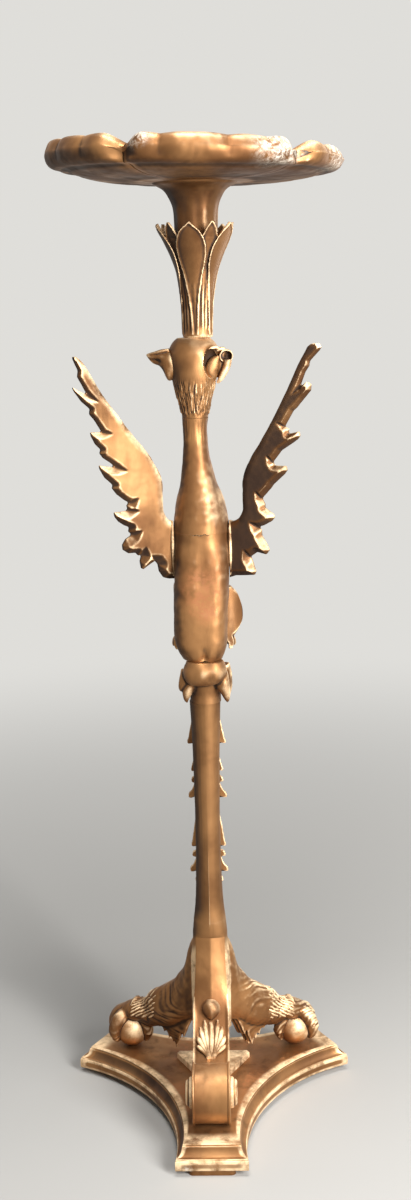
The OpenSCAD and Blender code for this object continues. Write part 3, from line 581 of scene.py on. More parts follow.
plainGilt = gildedWood("gilt_carving")
plinthGilt = gildedWood("gilt_plinth", 0.55, 0.35, gessoSpots=((60, -187, 20, 14), (-30, -188, 10, 9)))
plinthBole = gildedWood("worn_bole", 0.7, 0.9,
                        boleSpots=((70, -60, 38, 75), (-50, -70, 38, 60), (0, 60, 38, 90)))
bodyGilt = gildedWood("gilt_body", 0.45, 0.25, boleSpots=((-6, -40, 700, 40), (4, -42, 675, 26)))
topGilt = gildedWood("gilt_petals", 0.55, 0.2,
                     gessoSpots=((100, -140, 1210, 48), (172, -45, 1206, 52), (-58, -160, 1222, 24)))
columnGilt = gildedWood("gilt_column", 0.7, 0.35, grain=(1, 1, 0.1), tone=0.8)
neckGilt = gildedWood("gilt_neck", 0.5, 0.3, grain=(1, 1, 0.15))
woodFinish = bareWood()
steelFinish = rustySteel()
print("finishes are ready")


# Plinth: three cut-off corners joined by hollow arcs
plinth = {"cornerReach": 187, "cornerWidth": 90, "sideWaist": 85, "hollowShare": 0.7, "arcSteps": 54,
          "faceSteps": 22, "wobble": 0.3, "chip": 2.0}


def plinthRing(inset, z):
    p = plinth
    reach, half, c30 = p["cornerReach"], p["cornerWidth"] / 2, math.cos(math.radians(30))
    far2 = reach**2 + half**2
    centre = (far2 - p["sideWaist"]**2) / (2 * (reach / 2 + half * c30 - p["sideWaist"]))
    radius = centre - p["sideWaist"] + inset * p["hollowShare"]
    face = centre * c30 - math.sqrt(radius**2 - (reach - inset - centre / 2)**2)
    sweep = math.degrees(math.asin((face / 2 - (reach - inset) * c30) / radius))
    ring = []
    for k in range(3):
        arc = []
        for i in range(p["arcSteps"] + 1):
            c, s = round01(sweep * (1 - 2 * i / p["arcSteps"]))
            arc.append(turned((centre - radius * c, radius * s, z), 120 * k - 30))
        if k == 0:
            first = arc[0]
        if ring:
            start = ring[-1]
            ring += [start.lerp(arc[0], i / p["faceSteps"]) for i in range(1, p["faceSteps"])]
        ring += arc
    start = ring[-1]
    ring += [start.lerp(first, i / p["faceSteps"]) for i in range(1, p["faceSteps"])]
    return ring


def plinthPiece(name, rows, chipRows):
    store = newStore()
    rings = []
    for row, (inset, z) in enumerate(rows):
        ring = plinthRing(inset, z)
        for p in ring:
            out = Vector((p.x, p.y, 0)).normalized()
            dent = plinth["wobble"] * (rough(p, 26, 3) - 0.3)
            if row in chipRows:
                dent -= plinth["chip"] * max(0, rough(p, 7, 9) - 0.38)
            p += out * min(dent, 0)
        rings.append(ring)
    addLoft(store, rings)
    return makeObject(name, store, 30)


def makePlinth():
    low, high = lowOf("plinth_board"), highOf("plinth_board")
    rows = [(2.0, low), (0.5, low + 0.6), (0.05, low + 1.8), (0, low + 5), (0, high - 5), (0.05, high - 1.6),
            (0.4, high - 0.5), (1.4, high)]
    board = plinthPiece("plinth_board_carved", rows, (1, 2, 5, 6))
    settle(board, ["plinth_board"], plinthGilt, 1.6, 0.5, tilt=0.1)
    low, high = lowOf("plinth_moulding"), plinthTop
    rise = high - low - 5.2
    rows = [(2.4, low), (1.3, low + 0.1), (1.1, low + 0.5), (1.1, low + 1.4), (1.5, low + 1.9)]
    for i in range(11):
        c, s = round01(90 * i / 10)
        rows.append((2.2 + 8.3 * s, low + 2.1 + rise * (1 - c)))
    rows += [(10.7, high - 2.8), (11.3, high - 2.6), (11.9, high - 2.1), (12, high - 0.9), (12.4, high - 0.25),
             (13.4, high)]
    moulding = plinthPiece("plinth_moulding_carved", rows, (2, 3, 17, 18))
    settle(moulding, ["plinth_moulding"], plinthGilt, 1.6, 0.5, tilt=0.12)


# The flat top of the plinth shows the red clay under its rubbed gold: a skin just over the moulding
def makePlinthSkin():
    store = newStore()
    rings = []
    for share in (0.02, 0.12, 0.3, 0.5, 0.7, 0.86, 0.97):
        ring = plinthRing(14.2, plinthTop + 0.02)
        rings.append([Vector((p.x * share, p.y * share, p.z + 0.12 * (1 - share**8))) for p in ring])
    addLoft(store, rings, capped=False)
    outer = plinthRing(14.2, plinthTop - 0.3)
    base = len(store["points"])
    n = len(outer)
    store["points"].extend(outer)
    for i in range(n):
        store["faces"].append((base - n + i, base - n + (i + 1) % n, base + (i + 1) % n, base + i))
    centre = len(store["points"])
    store["points"].append(Vector((0, 0, plinthTop - 0.3)))
    for i in range(n):
        store["faces"].append((base + i, base + (i + 1) % n, centre))
    top = len(store["points"])
    store["points"].append(Vector((0, 0, plinthTop + 0.14)))
    for i in range(n):
        store["faces"].append((i, (i + 1) % n, top))
    skin = makeObject("plinth_top_skin", store, 60)
    settle(skin, ["plinth_moulding"], plinthBole, tilt=0)


block = {"reach": 61, "chamfer": 3}


def makeCentreBlock():
    low, high = lowOf("centre_block"), highOf("centre_block")
    store = newStore()
    rings = []
    for inset, z in ((0, low), (0, high - 1.2), (0.4, high - 0.4), (1.4, high)):
        corners = [turned((s * block["chamfer"], -block["reach"] + 2 * block["chamfer"], z), 120 * k)
                   for k in range(3) for s in (-1, 1)]
        ring = []
        for i, a in enumerate(corners):
            b = corners[(i + 1) % 6]
            ring += [a.lerp(b, j / 12) for j in range(12)]
        rings.append([Vector((p.x * (1 - inset / 30), p.y * (1 - inset / 30), z)) for p in ring])
    addLoft(store, rings)
    settle(makeObject("centre_block_carved", store, 30), ["centre_block"], plinthGilt, tilt=0.15)


# Rolled foot: a strap that runs down from the column, over a roll with raised edges
strap = {"coreFlat": 20.6, "rollReach": 124.6, "rollRadius": 38.8, "width": 46, "rollWidth": 48, "power": 3.9,
         "fillet": 3.4, "sunk": 1.4, "fall": 4.6, "topWidth": 38, "beadAt": 0.27}


def strapPoint(u):
    # middle of the strap's face at share u of its run, with the direction that it faces
    top = plinthTop + 0.1 + 2 * strap["rollRadius"]
    drop = jointHigh - top + 0.8
    y = -(strap["coreFlat"] + (strap["rollReach"] - strap["coreFlat"]) * u)
    z = top - 0.8 + drop * (1 - u)**strap["power"]
    slope = drop * strap["power"] * (1 - u)**(strap["power"] - 1) / (strap["rollReach"] - strap["coreFlat"])
    face = Vector((0, -slope, 1)).normalized()
    return Vector((0, y, z)), face


def strapHeight(share, u):
    # how far the face stands up across the strap: raised edges below the bead, a ridge above it
    edge = ease(abs(share), 0.82, 0.88)
    flat = strap["sunk"] * (edge - 1) * ease(u, 0.22, 0.34)
    arris = 1.5 * (1 - min(abs(share) / 0.6, 1))**1.5
    ridge = arris - (strap["fall"] * ease(u, 0.36, 0.1) + 1.2 * ease(u, 0.1, 0.02)) * abs(share)**2.4
    return flat + ridge * ease(u, 0.36, 0.2)


def makeScrollLeg():
    s = strap
    store = newStore()
    rollZ = plinthTop + 0.1 + s["rollRadius"]
    under = [(0, columnLow + 1), (0.4, columnLow - 9), (0.72, rollZ + 9), (0.78, rollZ - 2), (1.0, rollZ - 6)]
    rings = []
    for j in range(61):
        u = 0.96 * (j / 60)**0.85
        middle, face = strapPoint(u)
        low = along(under, u)
        half = s["topWidth"] / 2 + (s["width"] - s["topWidth"]) / 2 * ease(u, 0, 0.3)
        ring = []
        for i in range(25):
            x = -1 + 2 * i / 24
            ring.append(middle + Vector((x * half, 0, 0)) + face * strapHeight(x, u))
        right, left = ring[-1], ring[0]
        ring += [Vector((right.x, right.y, right.z + (low - right.z) * k / 5)) for k in range(1, 6)]
        ring += [Vector((half * (1 - 2 * k / 6), middle.y, low)) for k in range(1, 6)]
        ring += [Vector((left.x, left.y, low + (left.z - low) * k / 5)) for k in range(5)]
        rings.append(ring)
    addLoft(store, rings)
    w, r = s["rollWidth"] / 2, s["rollRadius"]
    profile = [(0, -w + 1)] + [(r * k / 22, -w) for k in range(9, 22)] + [
        (r - 0.6, -w + 0.2), (r, -w + 1), (r, -w + s["fillet"] - 0.8), (r - 0.5, -w + s["fillet"]),
        (r - s["sunk"], -w + s["fillet"] + 0.7)]
    face = [(r - s["sunk"] - 0.35 * math.cos(math.radians(15 * k)), -w + s["fillet"] + 1.5
             + (2 * w - 2 * s["fillet"] - 3) * (k + 6) / 12) for k in range(-6, 7)]
    profile = profile + face + [(p[0], -p[1]) for p in reversed(profile)]

    def volute(radius, height, a):
        # a groove winds inwards on each side of the roll
        if abs(height) > w - 0.3 and 12 < radius < r - 0.8:
            turn = (r - radius) / 9.5 - (a + 90) / 360 * (1 if height > 0 else -1)
            groove = abs(turn - round(turn)) * 2
            return radius, height * (1 - 1.6 / w * ease(groove, 0.25, 0.9))
        return radius, height

    place = Matrix(((0, 0, 1, 0), (0, 1, 0, -s["rollReach"]), (-1, 0, 0, rollZ), (0, 0, 0, 1)))
    addLathe(store, profile, place, 120, volute)
    leg = makeObject("scroll_leg_carved", store, 34)
    carve(leg, lambda p, n: 0.25 * rough(p, 18, 5) - 0.2)
    settle(leg, ["scroll_leg"], plainGilt, reach=2.2, height=3, tilt=0.25, seams=range(170, 240, 4))


leafOnStrap = {"lobes": ((0.345, 8.5, 3.4), (0.40, 14.0, 3.5), (0.50, 17.6, 3.3), (0.62, 18.2, 2.7)),
               "root": 0.85, "stemWidth": 3.6}


def makeStrapLeaf():
    # a fan of plump lobes on each side of a straight stem, from the roll up to the bead
    store = newStore()
    p = leafOnStrap

    def onStrap(x, u, lift, r):
        middle, face = strapPoint(u)
        spot = middle + Vector((x, 0, 0)) + face * lift
        return (*spot, r)

    face = strapPoint(0.6)[1]
    addTube(store, [onStrap(0, p["root"], -0.6, 2.0), onStrap(0, 0.7, 0.3, 2.8),
                    onStrap(0, 0.5, 0.9, p["stemWidth"]), onStrap(0, 0.36, 0.5, 2.6)], 24, 14, 0.6, face)
    for s in (-1, 1):
        for tip, out, fat in p["lobes"]:
            path = []
            for t, r in ((0, 0.9), (0.35, 0.62), (0.7, 1.0), (0.9, 0.95), (1, 0.3)):
                u = p["root"] + (tip - p["root"]) * t
                x = s * (2.6 + (out - 2.6) * t**1.15)
                path.append(onStrap(x, u, 0.2 + 1.5 * t**2, fat * r))
            addTube(store, path, 26, 14, 0.75, face)
    settle(makeObject("scroll_leaf_carved", store), ["scroll_leaf"], plainGilt, reach=2.2, height=0.7)


def makeBead():
    middle, face = strapPoint(strap["beadAt"])
    down = (strapPoint(strap["beadAt"] + 0.02)[0] - middle).normalized()
    side = face.cross(down)
    place = Matrix(((side.x, down.x, face.x, middle.x), (side.y, down.y, face.y, middle.y),
                    (side.z, down.z, face.z, middle.z), (0, 0, 0, 1)))
    r = 11.8
    profile = [(0, -1.8), (r * 0.9, -1.8)] + [(r * math.cos(math.radians(6 * k)), 1 + r * 0.95
               * math.sin(math.radians(6 * k))) for k in range(-1, 16)]

    def pointed(radius, height, a):
        return radius * (1 + 0.22 * max(0, math.sin(math.radians(a)))**10), height

    store = newStore()
    addLathe(store, profile, place, 72, pointed)
    settle(makeObject("scroll_bead_carved", store), ["scroll_bead"], plainGilt, reach=2.5)


def makeBoss(side, node):
    r, t = 19, highOf("scroll_boss_right", 0) - 24
    profile = [(0, 0), (r - 0.6, 0), (r, 0.5), (r, t * 0.28), (r - 0.8, t * 0.45), (r - 2.4, t * 0.5),
               (r - 3, t * 0.62), (r - 4.2, t * 0.86), (r - 6, t * 0.95), (r - 8, t * 0.86), (r - 9, t * 0.72),
               (r - 10, t * 0.7), (r - 11, t * 0.84), (r * 0.3, t * 0.97), (r * 0.15, t), (0, t)]
    rollZ = plinthTop + 0.1 + strap["rollRadius"]
    place = Matrix(((0, 0, side, side * (strap["rollWidth"] / 2 - 0.5)), (0, 1, 0, -strap["rollReach"]),
                    (-side, 0, 0, rollZ), (0, 0, 0, 1)))
    store = newStore()
    addLathe(store, profile, place, 64)
    boss = makeObject(node + "_turned", store)
    settle(boss, [node], plainGilt, reach=2, height=0.5)


makePlinth()
makePlinthSkin()
makeCentreBlock()
makeScrollLeg()
makeStrapLeaf()
makeBead()
makeBoss(-1, "scroll_boss_left")
makeBoss(1, "scroll_boss_right")


# Clawed legs: a furred thigh, a gripped ball, four toes and a tuft of hair
claw = {"ballReach": 129, "ballRadius": 22.8, "furDepth": 0.5, "voxel": 1.25,
 "toes": ((6, 10.2, 10), (58, 9.4, 22), (-50, 9.4, 22), (182, 7.8, 38)),
        "stroke": {"rows": 8, "across": 13, "from": 84, "to": 118, "length": 9.5, "width": 2.3}}


def strokeTree():
    # geometry nodes: one small spindle on every point, laid along that point's lean
    tree = bpy.data.node_groups.new("fur_strokes", "GeometryNodeTree")
    sockets = {}
    for name, kind in (("Geometry", "Geometry"), ("Length", "Float"), ("Width", "Float"), ("Seed", "Int"),
                       ("Finish", "Material")):
        socket = tree.interface.new_socket(name, in_out="INPUT", socket_type="NodeSocket" + kind)
        sockets[name] = socket.identifier
    tree.interface.new_socket("Geometry", in_out="OUTPUT", socket_type="NodeSocketGeometry")
    start = tree.nodes.new("NodeGroupInput").outputs

    def add(kind, given, **settings):
        return addNode(tree, kind, given, **settings).outputs[0]

    def part(name, share):
        return add("ShaderNodeMath", {0: start[name], 1: share}, operation="MULTIPLY")

    def stored(name):
        return add("GeometryNodeInputNamedAttribute", {"Name": name}, data_type="FLOAT_VECTOR")

    ball = add("GeometryNodeMeshUVSphere", {"Segments": 8, "Rings": 5, "Radius": 1.0})
    parts = {"X": part("Width", 0.5), "Y": part("Width", 0.32), "Z": part("Length", 0.5)}
    spindle = add("GeometryNodeTransform", {"Geometry": ball, "Scale": add("ShaderNodeCombineXYZ", parts)})
    laid = add("FunctionNodeAlignRotationToVector", {"Vector": stored("lean")}, axis="Z")
    flat = add("FunctionNodeAlignRotationToVector", {"Rotation": laid, "Vector": stored("facing")},
               axis="Y", pivot_axis="Z")
    chance = addNode(tree, "FunctionNodeRandomValue", {"Seed": start["Seed"]}, data_type="FLOAT")
    limits = {"Min": 0.65, "Max": 1.2}
    for socket in chance.inputs:
        if socket.type == "VALUE" and socket.name in limits:
            socket.default_value = limits[socket.name]
    amount = next(socket for socket in chance.outputs if socket.type == "VALUE")
    dots = add("GeometryNodeMeshToPoints", {"Mesh": start["Geometry"]})
    strokes = add("GeometryNodeInstanceOnPoints",
                  {"Points": dots, "Instance": spindle, "Rotation": flat, "Scale": amount})
    solid = add("GeometryNodeRealizeInstances", {"Geometry": strokes})
    painted = add("GeometryNodeSetMaterial", {"Geometry": solid, "Material": start["Finish"]})
    addNode(tree, "NodeGroupOutput", {0: painted})
    return tree, sockets


def makeFur(k, node, leg):
    # chevrons of short strokes round the ankle, laid on the carved leg
    f = claw["stroke"]
    corners = [v.co[:] for v in leg.data.vertices]
    skin = BVHTree.FromPolygons(corners, [tuple(p.vertices) for p in leg.data.polygons])
    spots, leans, faces = [], [], []
    for j in range(f["rows"]):
        for i in range(f["across"]):
            turn = -118 + 236 * (i + 0.5 * (j % 2)) / f["across"]
            c, s = round01(turn)
            luck = noise.noise(Vector((i * 1.7, j * 2.9, k * 4.1)))
            y = f["from"] + (f["to"] - f["from"]) * (j + 0.5 * luck) / (f["rows"] - 1)
            away = Vector((s, 0, c))
            middle = Vector((0, -y, plinthTop + 64 - 0.16 * (y - 84)))
            hit, normal, _, _ = skin.ray_cast((middle + away * 34) * mm, -away)
            if hit is None:
                continue
            slant = Vector((math.copysign(0.75, s) * c, -1, -0.75 * abs(s)))
            lean = (slant - normal * slant.dot(normal)).normalized()
            spots.append(hit)
            leans.append(lean)
            faces.append(normal)
    mesh = bpy.data.meshes.new(node + "_fur")
    mesh.from_pydata([tuple(spot) for spot in spots], [], [])
    for name, values in (("lean", leans), ("facing", faces)):
        layer = mesh.attributes.new(name, "FLOAT_VECTOR", "POINT")
        layer.data.foreach_set("vector", [number for value in values for number in value])
    fur = bpy.data.objects.new(node + "_fur", mesh)
    scene.collection.objects.link(fur)
    tree, sockets = strokeTree()
    growth = fur.modifiers.new("fur", "NODES")
    growth.node_group = tree
    growth[sockets["Length"]] = f["length"] * mm
    growth[sockets["Width"]] = f["width"] * mm
    growth[sockets["Seed"]] = 7 + k
    growth[sockets["Finish"]] = legGilt
    applied(fur)
    fur.data.polygons.foreach_set("use_smooth", [True] * len(fur.data.polygons))
    for v in fur.data.vertices:
        v.co = turned(v.co, 120 * k)
    fur.data.update()
    settle(fur, [node], legGilt, reach=0.8, height=0.25)


def legForm(k, node):
    c = claw
    store = newStore()
    ballZ = plinthTop + c["ballRadius"] + 0.2
    back = [(0, 1), (0.1, 0.90), (0.145, 0.79), (0.2, 0.712), (0.28, 0.65), (0.35, 0.594), (0.46, 0.545),
            (0.57, 0.50), (0.7, 0.45), (0.79, 0.385), (0.85, 0.365), (0.95, 0.37)]
    front = [(0, 0.34), (0.2, 0.30), (0.34, 0.24), (0.42, 0.222), (0.6, 0.20), (0.7, 0.185), (0.85, 0.20),
             (0.95, 0.25)]
    rise = jointHigh - plinthTop
    rings = []
    for j in range(60):
        t = 0.95 * j / 59
        y = 17.1 + (c["ballReach"] - 17) * t
        high, low = plinthTop + rise * along(back, t), plinthTop + rise * along(front, t)
        w = along([(0, 19.5), (0.3, 18), (0.6, 16), (0.8, 11.8), (0.95, 12.6)], t)
        middle, half = (high + low) / 2, (high - low) / 2
        rings.append([Vector((w * math.copysign(abs(cx)**0.85, cx), -y, middle + half * sx))
                      for cx, sx in circle(32)])
    addLoft(store, rings)
    ball = Vector((0, -c["ballReach"], ballZ))
    place = Matrix.Translation(ball)
    r = c["ballRadius"]
    ballStore = newStore()
    addLathe(ballStore, ballProfile(r, 24), place @ Matrix.Scale(0.985, 4), 48)
    addLathe(store, ballProfile(r * 0.94, 24), place, 48)
    # the paw covers the top of the ball; a toe runs from it over the ball down to its nail on every side
    paw = [(96, 56, 15), (110, 57, 15.5), (124, 52, 15.5), (138, 45, 13), (148, 37, 8)]
    addTube(store, [(0, -out, plinthTop + up, fat) for out, up, fat in paw], 30, 28)
    for turn, thick, top in claw["toes"]:
        dc, ds = round01(turn)
        out = Vector((ds, -dc, 0))
        path = []
        for angle, size in ((top - 30, 0.7), (top, 1.0), (top + 25, 1.05), (top + 48, 1.0),
                            (80 + top * 0.2, 0.9), (100, 0.72), (116, 0.46), (124, 0.12)):
            ca, sa = round01(angle)
            rt = thick * size
            reach = r + rt * 0.4
            p = ball + out * (reach * sa) + Vector((0, 0, reach * ca))
            p.z = max(p.z, plinthTop + 1.6)
            path.append((p.x, p.y, p.z, rt))
        addTube(store, path, 36, 18)
    # tuft: a jagged flap of hair under the thigh, with one long point
    edge = [(30, 104), (36, 92), (41, 80), (43.5, 74), (46, 83), (48, 76), (52, 64), (56, 55), (58.5, 68),
            (61, 62), (63.5, 73), (67, 67), (70, 79), (74, 75), (78, 86), (88, 92), (88, 104)]
    n = len(edge)
    for x, fat, shift in ((-5, 3.4, 2.5), (0, 4.2, 0), (5, 3.4, -2)):
        base = len(store["points"])
        for side in (-1, 1):
            for y, z in edge:
                half = side * fat * (0.25 + 0.75 * clamp((z - 56) / 30))
                store["points"].append(Vector((x + half, -y - shift, z + 0.4 * shift)))
        store["faces"] += [tuple(base + i for i in range(n)), tuple(base + 2 * n - 1 - i for i in range(n))]
        for i in range(n):
            after = base + (i + 1) % n
            store["faces"].append((base + i, after, n + after, base + n + i))
    leg = makeObject(node + "_carved", store)
    fuse(leg, c["voxel"], 2)

    def fur(p, n):
        y, z = -p.y, p.z
        if (p - ball).length < r + 1.3:
            return 0.25 * rough(p, 6, 2)
        # fine strokes run down from the column
        bend = rough(p, 24, k) * 7
        across = p.x * 0.9 + (z - 0.5 * y) * 0.55 + bend
        stroke = noise.noise(Vector((across / 3.4, (y + z * 0.4) / 22, k * 3.1)))
        return c["furDepth"] * stroke * 1.7 * ease(y, 26, 55) + 0.3 * rough(p, 9, 4) - 0.2

    carve(leg, fur)
    makeFur(k, node, leg)
    spin(leg, 120 * k)
    limit(leg, 2, plinthTop)
    leg.data.update()
    settle(leg, [node], legGilt, reach=2.6, height=0.8, seams=(jointHigh,))
    sphere = makeObject(node + "_ball", ballStore)
    spin(sphere, 120 * k)
    limit(sphere, 2, plinthTop + 0.3)
    sphere.data.update()
    # tilt paints the top of the ball lighter and its underside darker: painted light and shade
    settle(sphere, [node], ballGilt, reach=2.6, height=0.8, tilt=0.5)


# Column: a three-sided core that becomes a slender shaft with an edge towards each foot
shaft = {"sides": 96, "arris": 0.075, "sharp": 0.75}


def shaftRadius(z):
    keys = [(jointHigh + 20, 20), (jointHigh + 44, 18.2), (jointHigh + 85, 16.5), (jointHigh + 150, 16),
            (jointHigh + 210, 16.5), (columnHigh - 40, 17.9), (columnHigh, 19.5)]
    return along(keys, z)


def coreRadius(a, corner):
    radii = []
    for k in range(3):
        facing = math.cos(math.radians(a - 120 * k + 90))
        if facing > 0.05:
            radii.append(17 / facing)
        facing = math.cos(math.radians(a - 120 * k - 90))
        if facing > 0.05:
            radii.append((17 + corner) / facing)
    return min(radii)


def makeColumn():
    rings = []
    zs = [columnLow, jointHigh - 32, jointHigh + 1] + [jointHigh + 4 + i * 4 for i in range(10)]
    zs += [jointHigh + 44 + (columnHigh - jointHigh - 44) * i / 70 for i in range(1, 71)]
    for z in zs:
        share = ease(z, jointHigh - 12, jointHigh + 40) if z > jointHigh + 0.5 else 0
        corner = 10.5 - 4.5 * ease(z, jointHigh - 34, jointHigh + 2)
        fade = 1 - 0.75 * ease(z, jointHigh + 60, jointHigh + 230)
        ring = []
        for i in range(shaft["sides"]):
            a = 360 * i / shaft["sides"]
            lobe = 1 - abs(math.sin(math.radians(1.5 * (a + 90))))**shaft["sharp"] * 1.4
            r = shaftRadius(max(z, jointHigh + 20)) * (1 + shaft["arris"] * fade * lobe)
            foot = 22.7 + 1.5 * math.cos(math.radians(3 * (a - 90)))
            skirt = coreRadius(a, corner) if z < jointHigh + 0.5 else foot
            r = share * r + (1 - share) * skirt
            c, s = round01(a)
            p = Vector((r * c, r * s, z))
            if z > jointHigh + 40:
                p.y = min(p.y, 13)
                grain = noise.noise(Vector((a / 9, z / 60, 1)))
                p += Vector((c, s, 0)) * (0.35 * rough(p, 30, 2) + 0.12 * grain)
            ring.append(p)
        rings.append(ring)
    store = newStore()
    addLoft(store, rings)
    column = makeObject("column_shaft_carved", store, 30)
    settle(column, ["column_shaft"], columnGilt, reach=4, height=0.8, seams=(jointHigh, columnHigh))


# Husks: open bells hung one from another down the beast's side of the column
husks = {"flat": 13.1, "upper": ((540, 487, 25.8), (490, 450, 21.5), (452, 435, 21.5), (438, 414, 26)),
         "lower": ((409, 347, 23.5), (350, 333, 22.5), (336, 312, 26), (314, 298, 19)),
         "lobes": 9, "voxel": 1.0}


def makeHusks(node, bells):
    store = newStore()
    flat = husks["flat"]
    for z0, z1, reach in bells:
        rings = []
        tall = z0 - z1
        lip = min(4.5, tall * 0.28)
        for t, r, h in ((0, 0.60, z0), (0.3, 0.69, z0 - tall * 0.3), (0.6, 0.82, z0 - tall * 0.6),
                        (0.85, 0.93, z1 + lip + 3), (0.95, 0.985, z1 + lip * 0.9), (1, 1.0, z1 + 2.4),
                        (1, 0.97, z1 + 0.7), (1, 0.88, z1), (0.9, 0.74, z1 + 1.2), (0.8, 0.6, z1 + 3)):
            ring = []
            for i in range(90):
                c, s = round01(4 * i)
                lobe = abs(math.cos(math.radians(husks["lobes"] * 2 * i)))
                q = r * (1 - 0.13 * t * (1 - lobe**0.6))
                deep = 13.6 * q if s > 0 else 6
                ring.append(Vector((reach * q * c, flat + 1 + deep * s, h + 2.2 * t * (1 - lobe))))
            rings.append(ring)
        addLoft(store, rings)
    piece = makeObject(node + "_carved", store)
    fuse(piece, husks["voxel"], 1)
    carve(piece, lambda p, n: 0.35 * rough(p, 6, 2) - 0.15)
    for v in piece.data.vertices:
        v.co.y = max(v.co.y, flat * mm)
    settle(piece, [node], plainGilt, reach=2.5, height=0.7)


legGilt = gildedWood("gilt_legs", 0.6, 0.15)
ballGilt = gildedWood("gilt_balls", 0.2, 0.1, tone=1.7)
legForm(1, "leg_right")
legForm(2, "leg_left")
makeColumn()
makeHusks("husk_upper", husks["upper"])
makeHusks("husk_lower", husks["lower"])


# Capital: leaves that curl over towards the front and hang at the sides
capital = {"voxel": 1.15}
capitalGilt = gildedWood("gilt_capital", 0.6, 0.3, tone=0.95)


def makeCapital():
    low, high = lowOf("capital"), highOf("capital")
    rise = high - low
    rows = [(0, 19.5, 19.7), (0.2, 19.5, 19.8), (0.35, 20, 22), (0.5, 21, 25), (0.75, 21, 24), (1, 21, 21)]
    store = newStore()
    rings = []
    for j in range(25):
        t = -0.06 + 1.06 * j / 24
        side, front = columns(rows, t)
        rings.append([Vector((side * c + 1, (front if s < 0 else 19.4 + 18 * t) * s, low + rise * t))
                      for c, s in circle(40)])
    addLoft(store, rings)
    # the front leaf curls over into a plump roll
    rings = []
    for j in range(33):
        x = -1 + 2 * j / 32
        fat = max(1 - abs(x)**3.2, 0.02)**0.5
        middle = Vector((1 + x * 27, -26.5 + 4 * x * x, low + rise * 0.775 + 1.5 * x))
        rings.append([middle + Vector((0, 15.5 * fat * c, 18.5 * fat * s)) for c, s in circle(36)])
    addLoft(store, rings)
    # plump side leaves hang beside it with tips that turn outwards
    for path in ([(20, -17, 590, 9), (22.5, -19, 577, 9), (26, -19, 566, 6.5), (28, -17, 556, 3.6),
                  (28.5, -15, 550.5, 0.8)],
                 [(24, -8, 598, 8), (27, -6, 582, 8), (28, -4, 566, 6.5), (29, -3, 554, 2)],
                 [(-20, -13, 592, 9), (-24, -15, 580, 8), (-28, -14, 571, 5), (-29.5, -12, 565, 1.5)],
                 [(-18, -15, 577, 8), (-21.5, -16, 565, 6.5), (-23, -15, 556, 3.6), (-22, -14, 550.6, 1)]):
        addTube(store, [(x, y, z - 549.1 + low, r) for x, y, z, r in path], 20, 18)
    for a, length, half, flare in ((172, 0.8, 10, 6), (8, 0.8, 10, 6), (150, 0.85, 11, 6), (30, 0.85, 11, 6),
                                   (120, 0.9, 11, 6), (60, 0.9, 11, 6), (90, 1, 12, 6)):
        c, s = round01(a)
        out = Vector((c, s, 0))
        spine, side, up, widths = [], [], [], []
        for j in range(21):
            t = j / 20
            r = 22.5 + along([(0, -2), (0.5, 0.5), (0.8, 2.4), (1, flare)], t)
            z = high - 7 - (rise - 10) * length * t + (16 * (t - 0.9) if t > 0.9 else 0)
            spine.append(Vector((1, 0, z)) + out * r)
            side.append(Vector((-s, c, 0)))
            up.append(out)
            widths.append(half * along([(0, 0.7), (0.3, 0.85), (0.6, 1.0), (0.86, 0.7), (1, 0.12)], t))
        addBlade(store, spine, side, up, widths, 5, 0.5, 0.6)
    piece = makeObject("capital_carved", store)
    fuse(piece, capital["voxel"], 2)

    def leafMarks(p, n):
        fold = 0.4 * math.sin((p.x + 0.5 * p.z) * 0.26 + 2 * rough(p, 26, 6)) * ease(-n.y, 0.3, 0.8)
        return (fold + 0.6 * rough(p, 13, 8)) * ease(p.z, low + 18, low + 30)

    carve(piece, leafMarks)
    limit(piece, 2, low, high)
    settle(piece, ["capital"], capitalGilt, reach=3, height=0.9, seams=(columnHigh, bodyLow))


# Body of the beast: rump, haunches and shoulders, then the neck
crackDirt = gildedWood("dirt_in_crack", 1.0, 0.2, tone=0.12)
body = {"rumpShift": 1, "halfWidth": 38.5, "wingFlat": 34, "lean": 4, "neckHalf": 14.6}


def ovalRing(cx, y0, y1, rx, z, xMax=999, yMax=999, power=1.0, sides=64, right=None):
    ring = []
    for i in range(sides):
        c, s = round01(360 * i / sides)
        half = right if right and c > 0 else rx
        x = clamp(cx + half * math.copysign(abs(c)**power, c), -xMax, xMax)
        y = min((y0 + y1) / 2 + (y1 - y0) / 2 * math.copysign(abs(s)**power, s), yMax)
        ring.append(Vector((x, y, z)))
    return ring


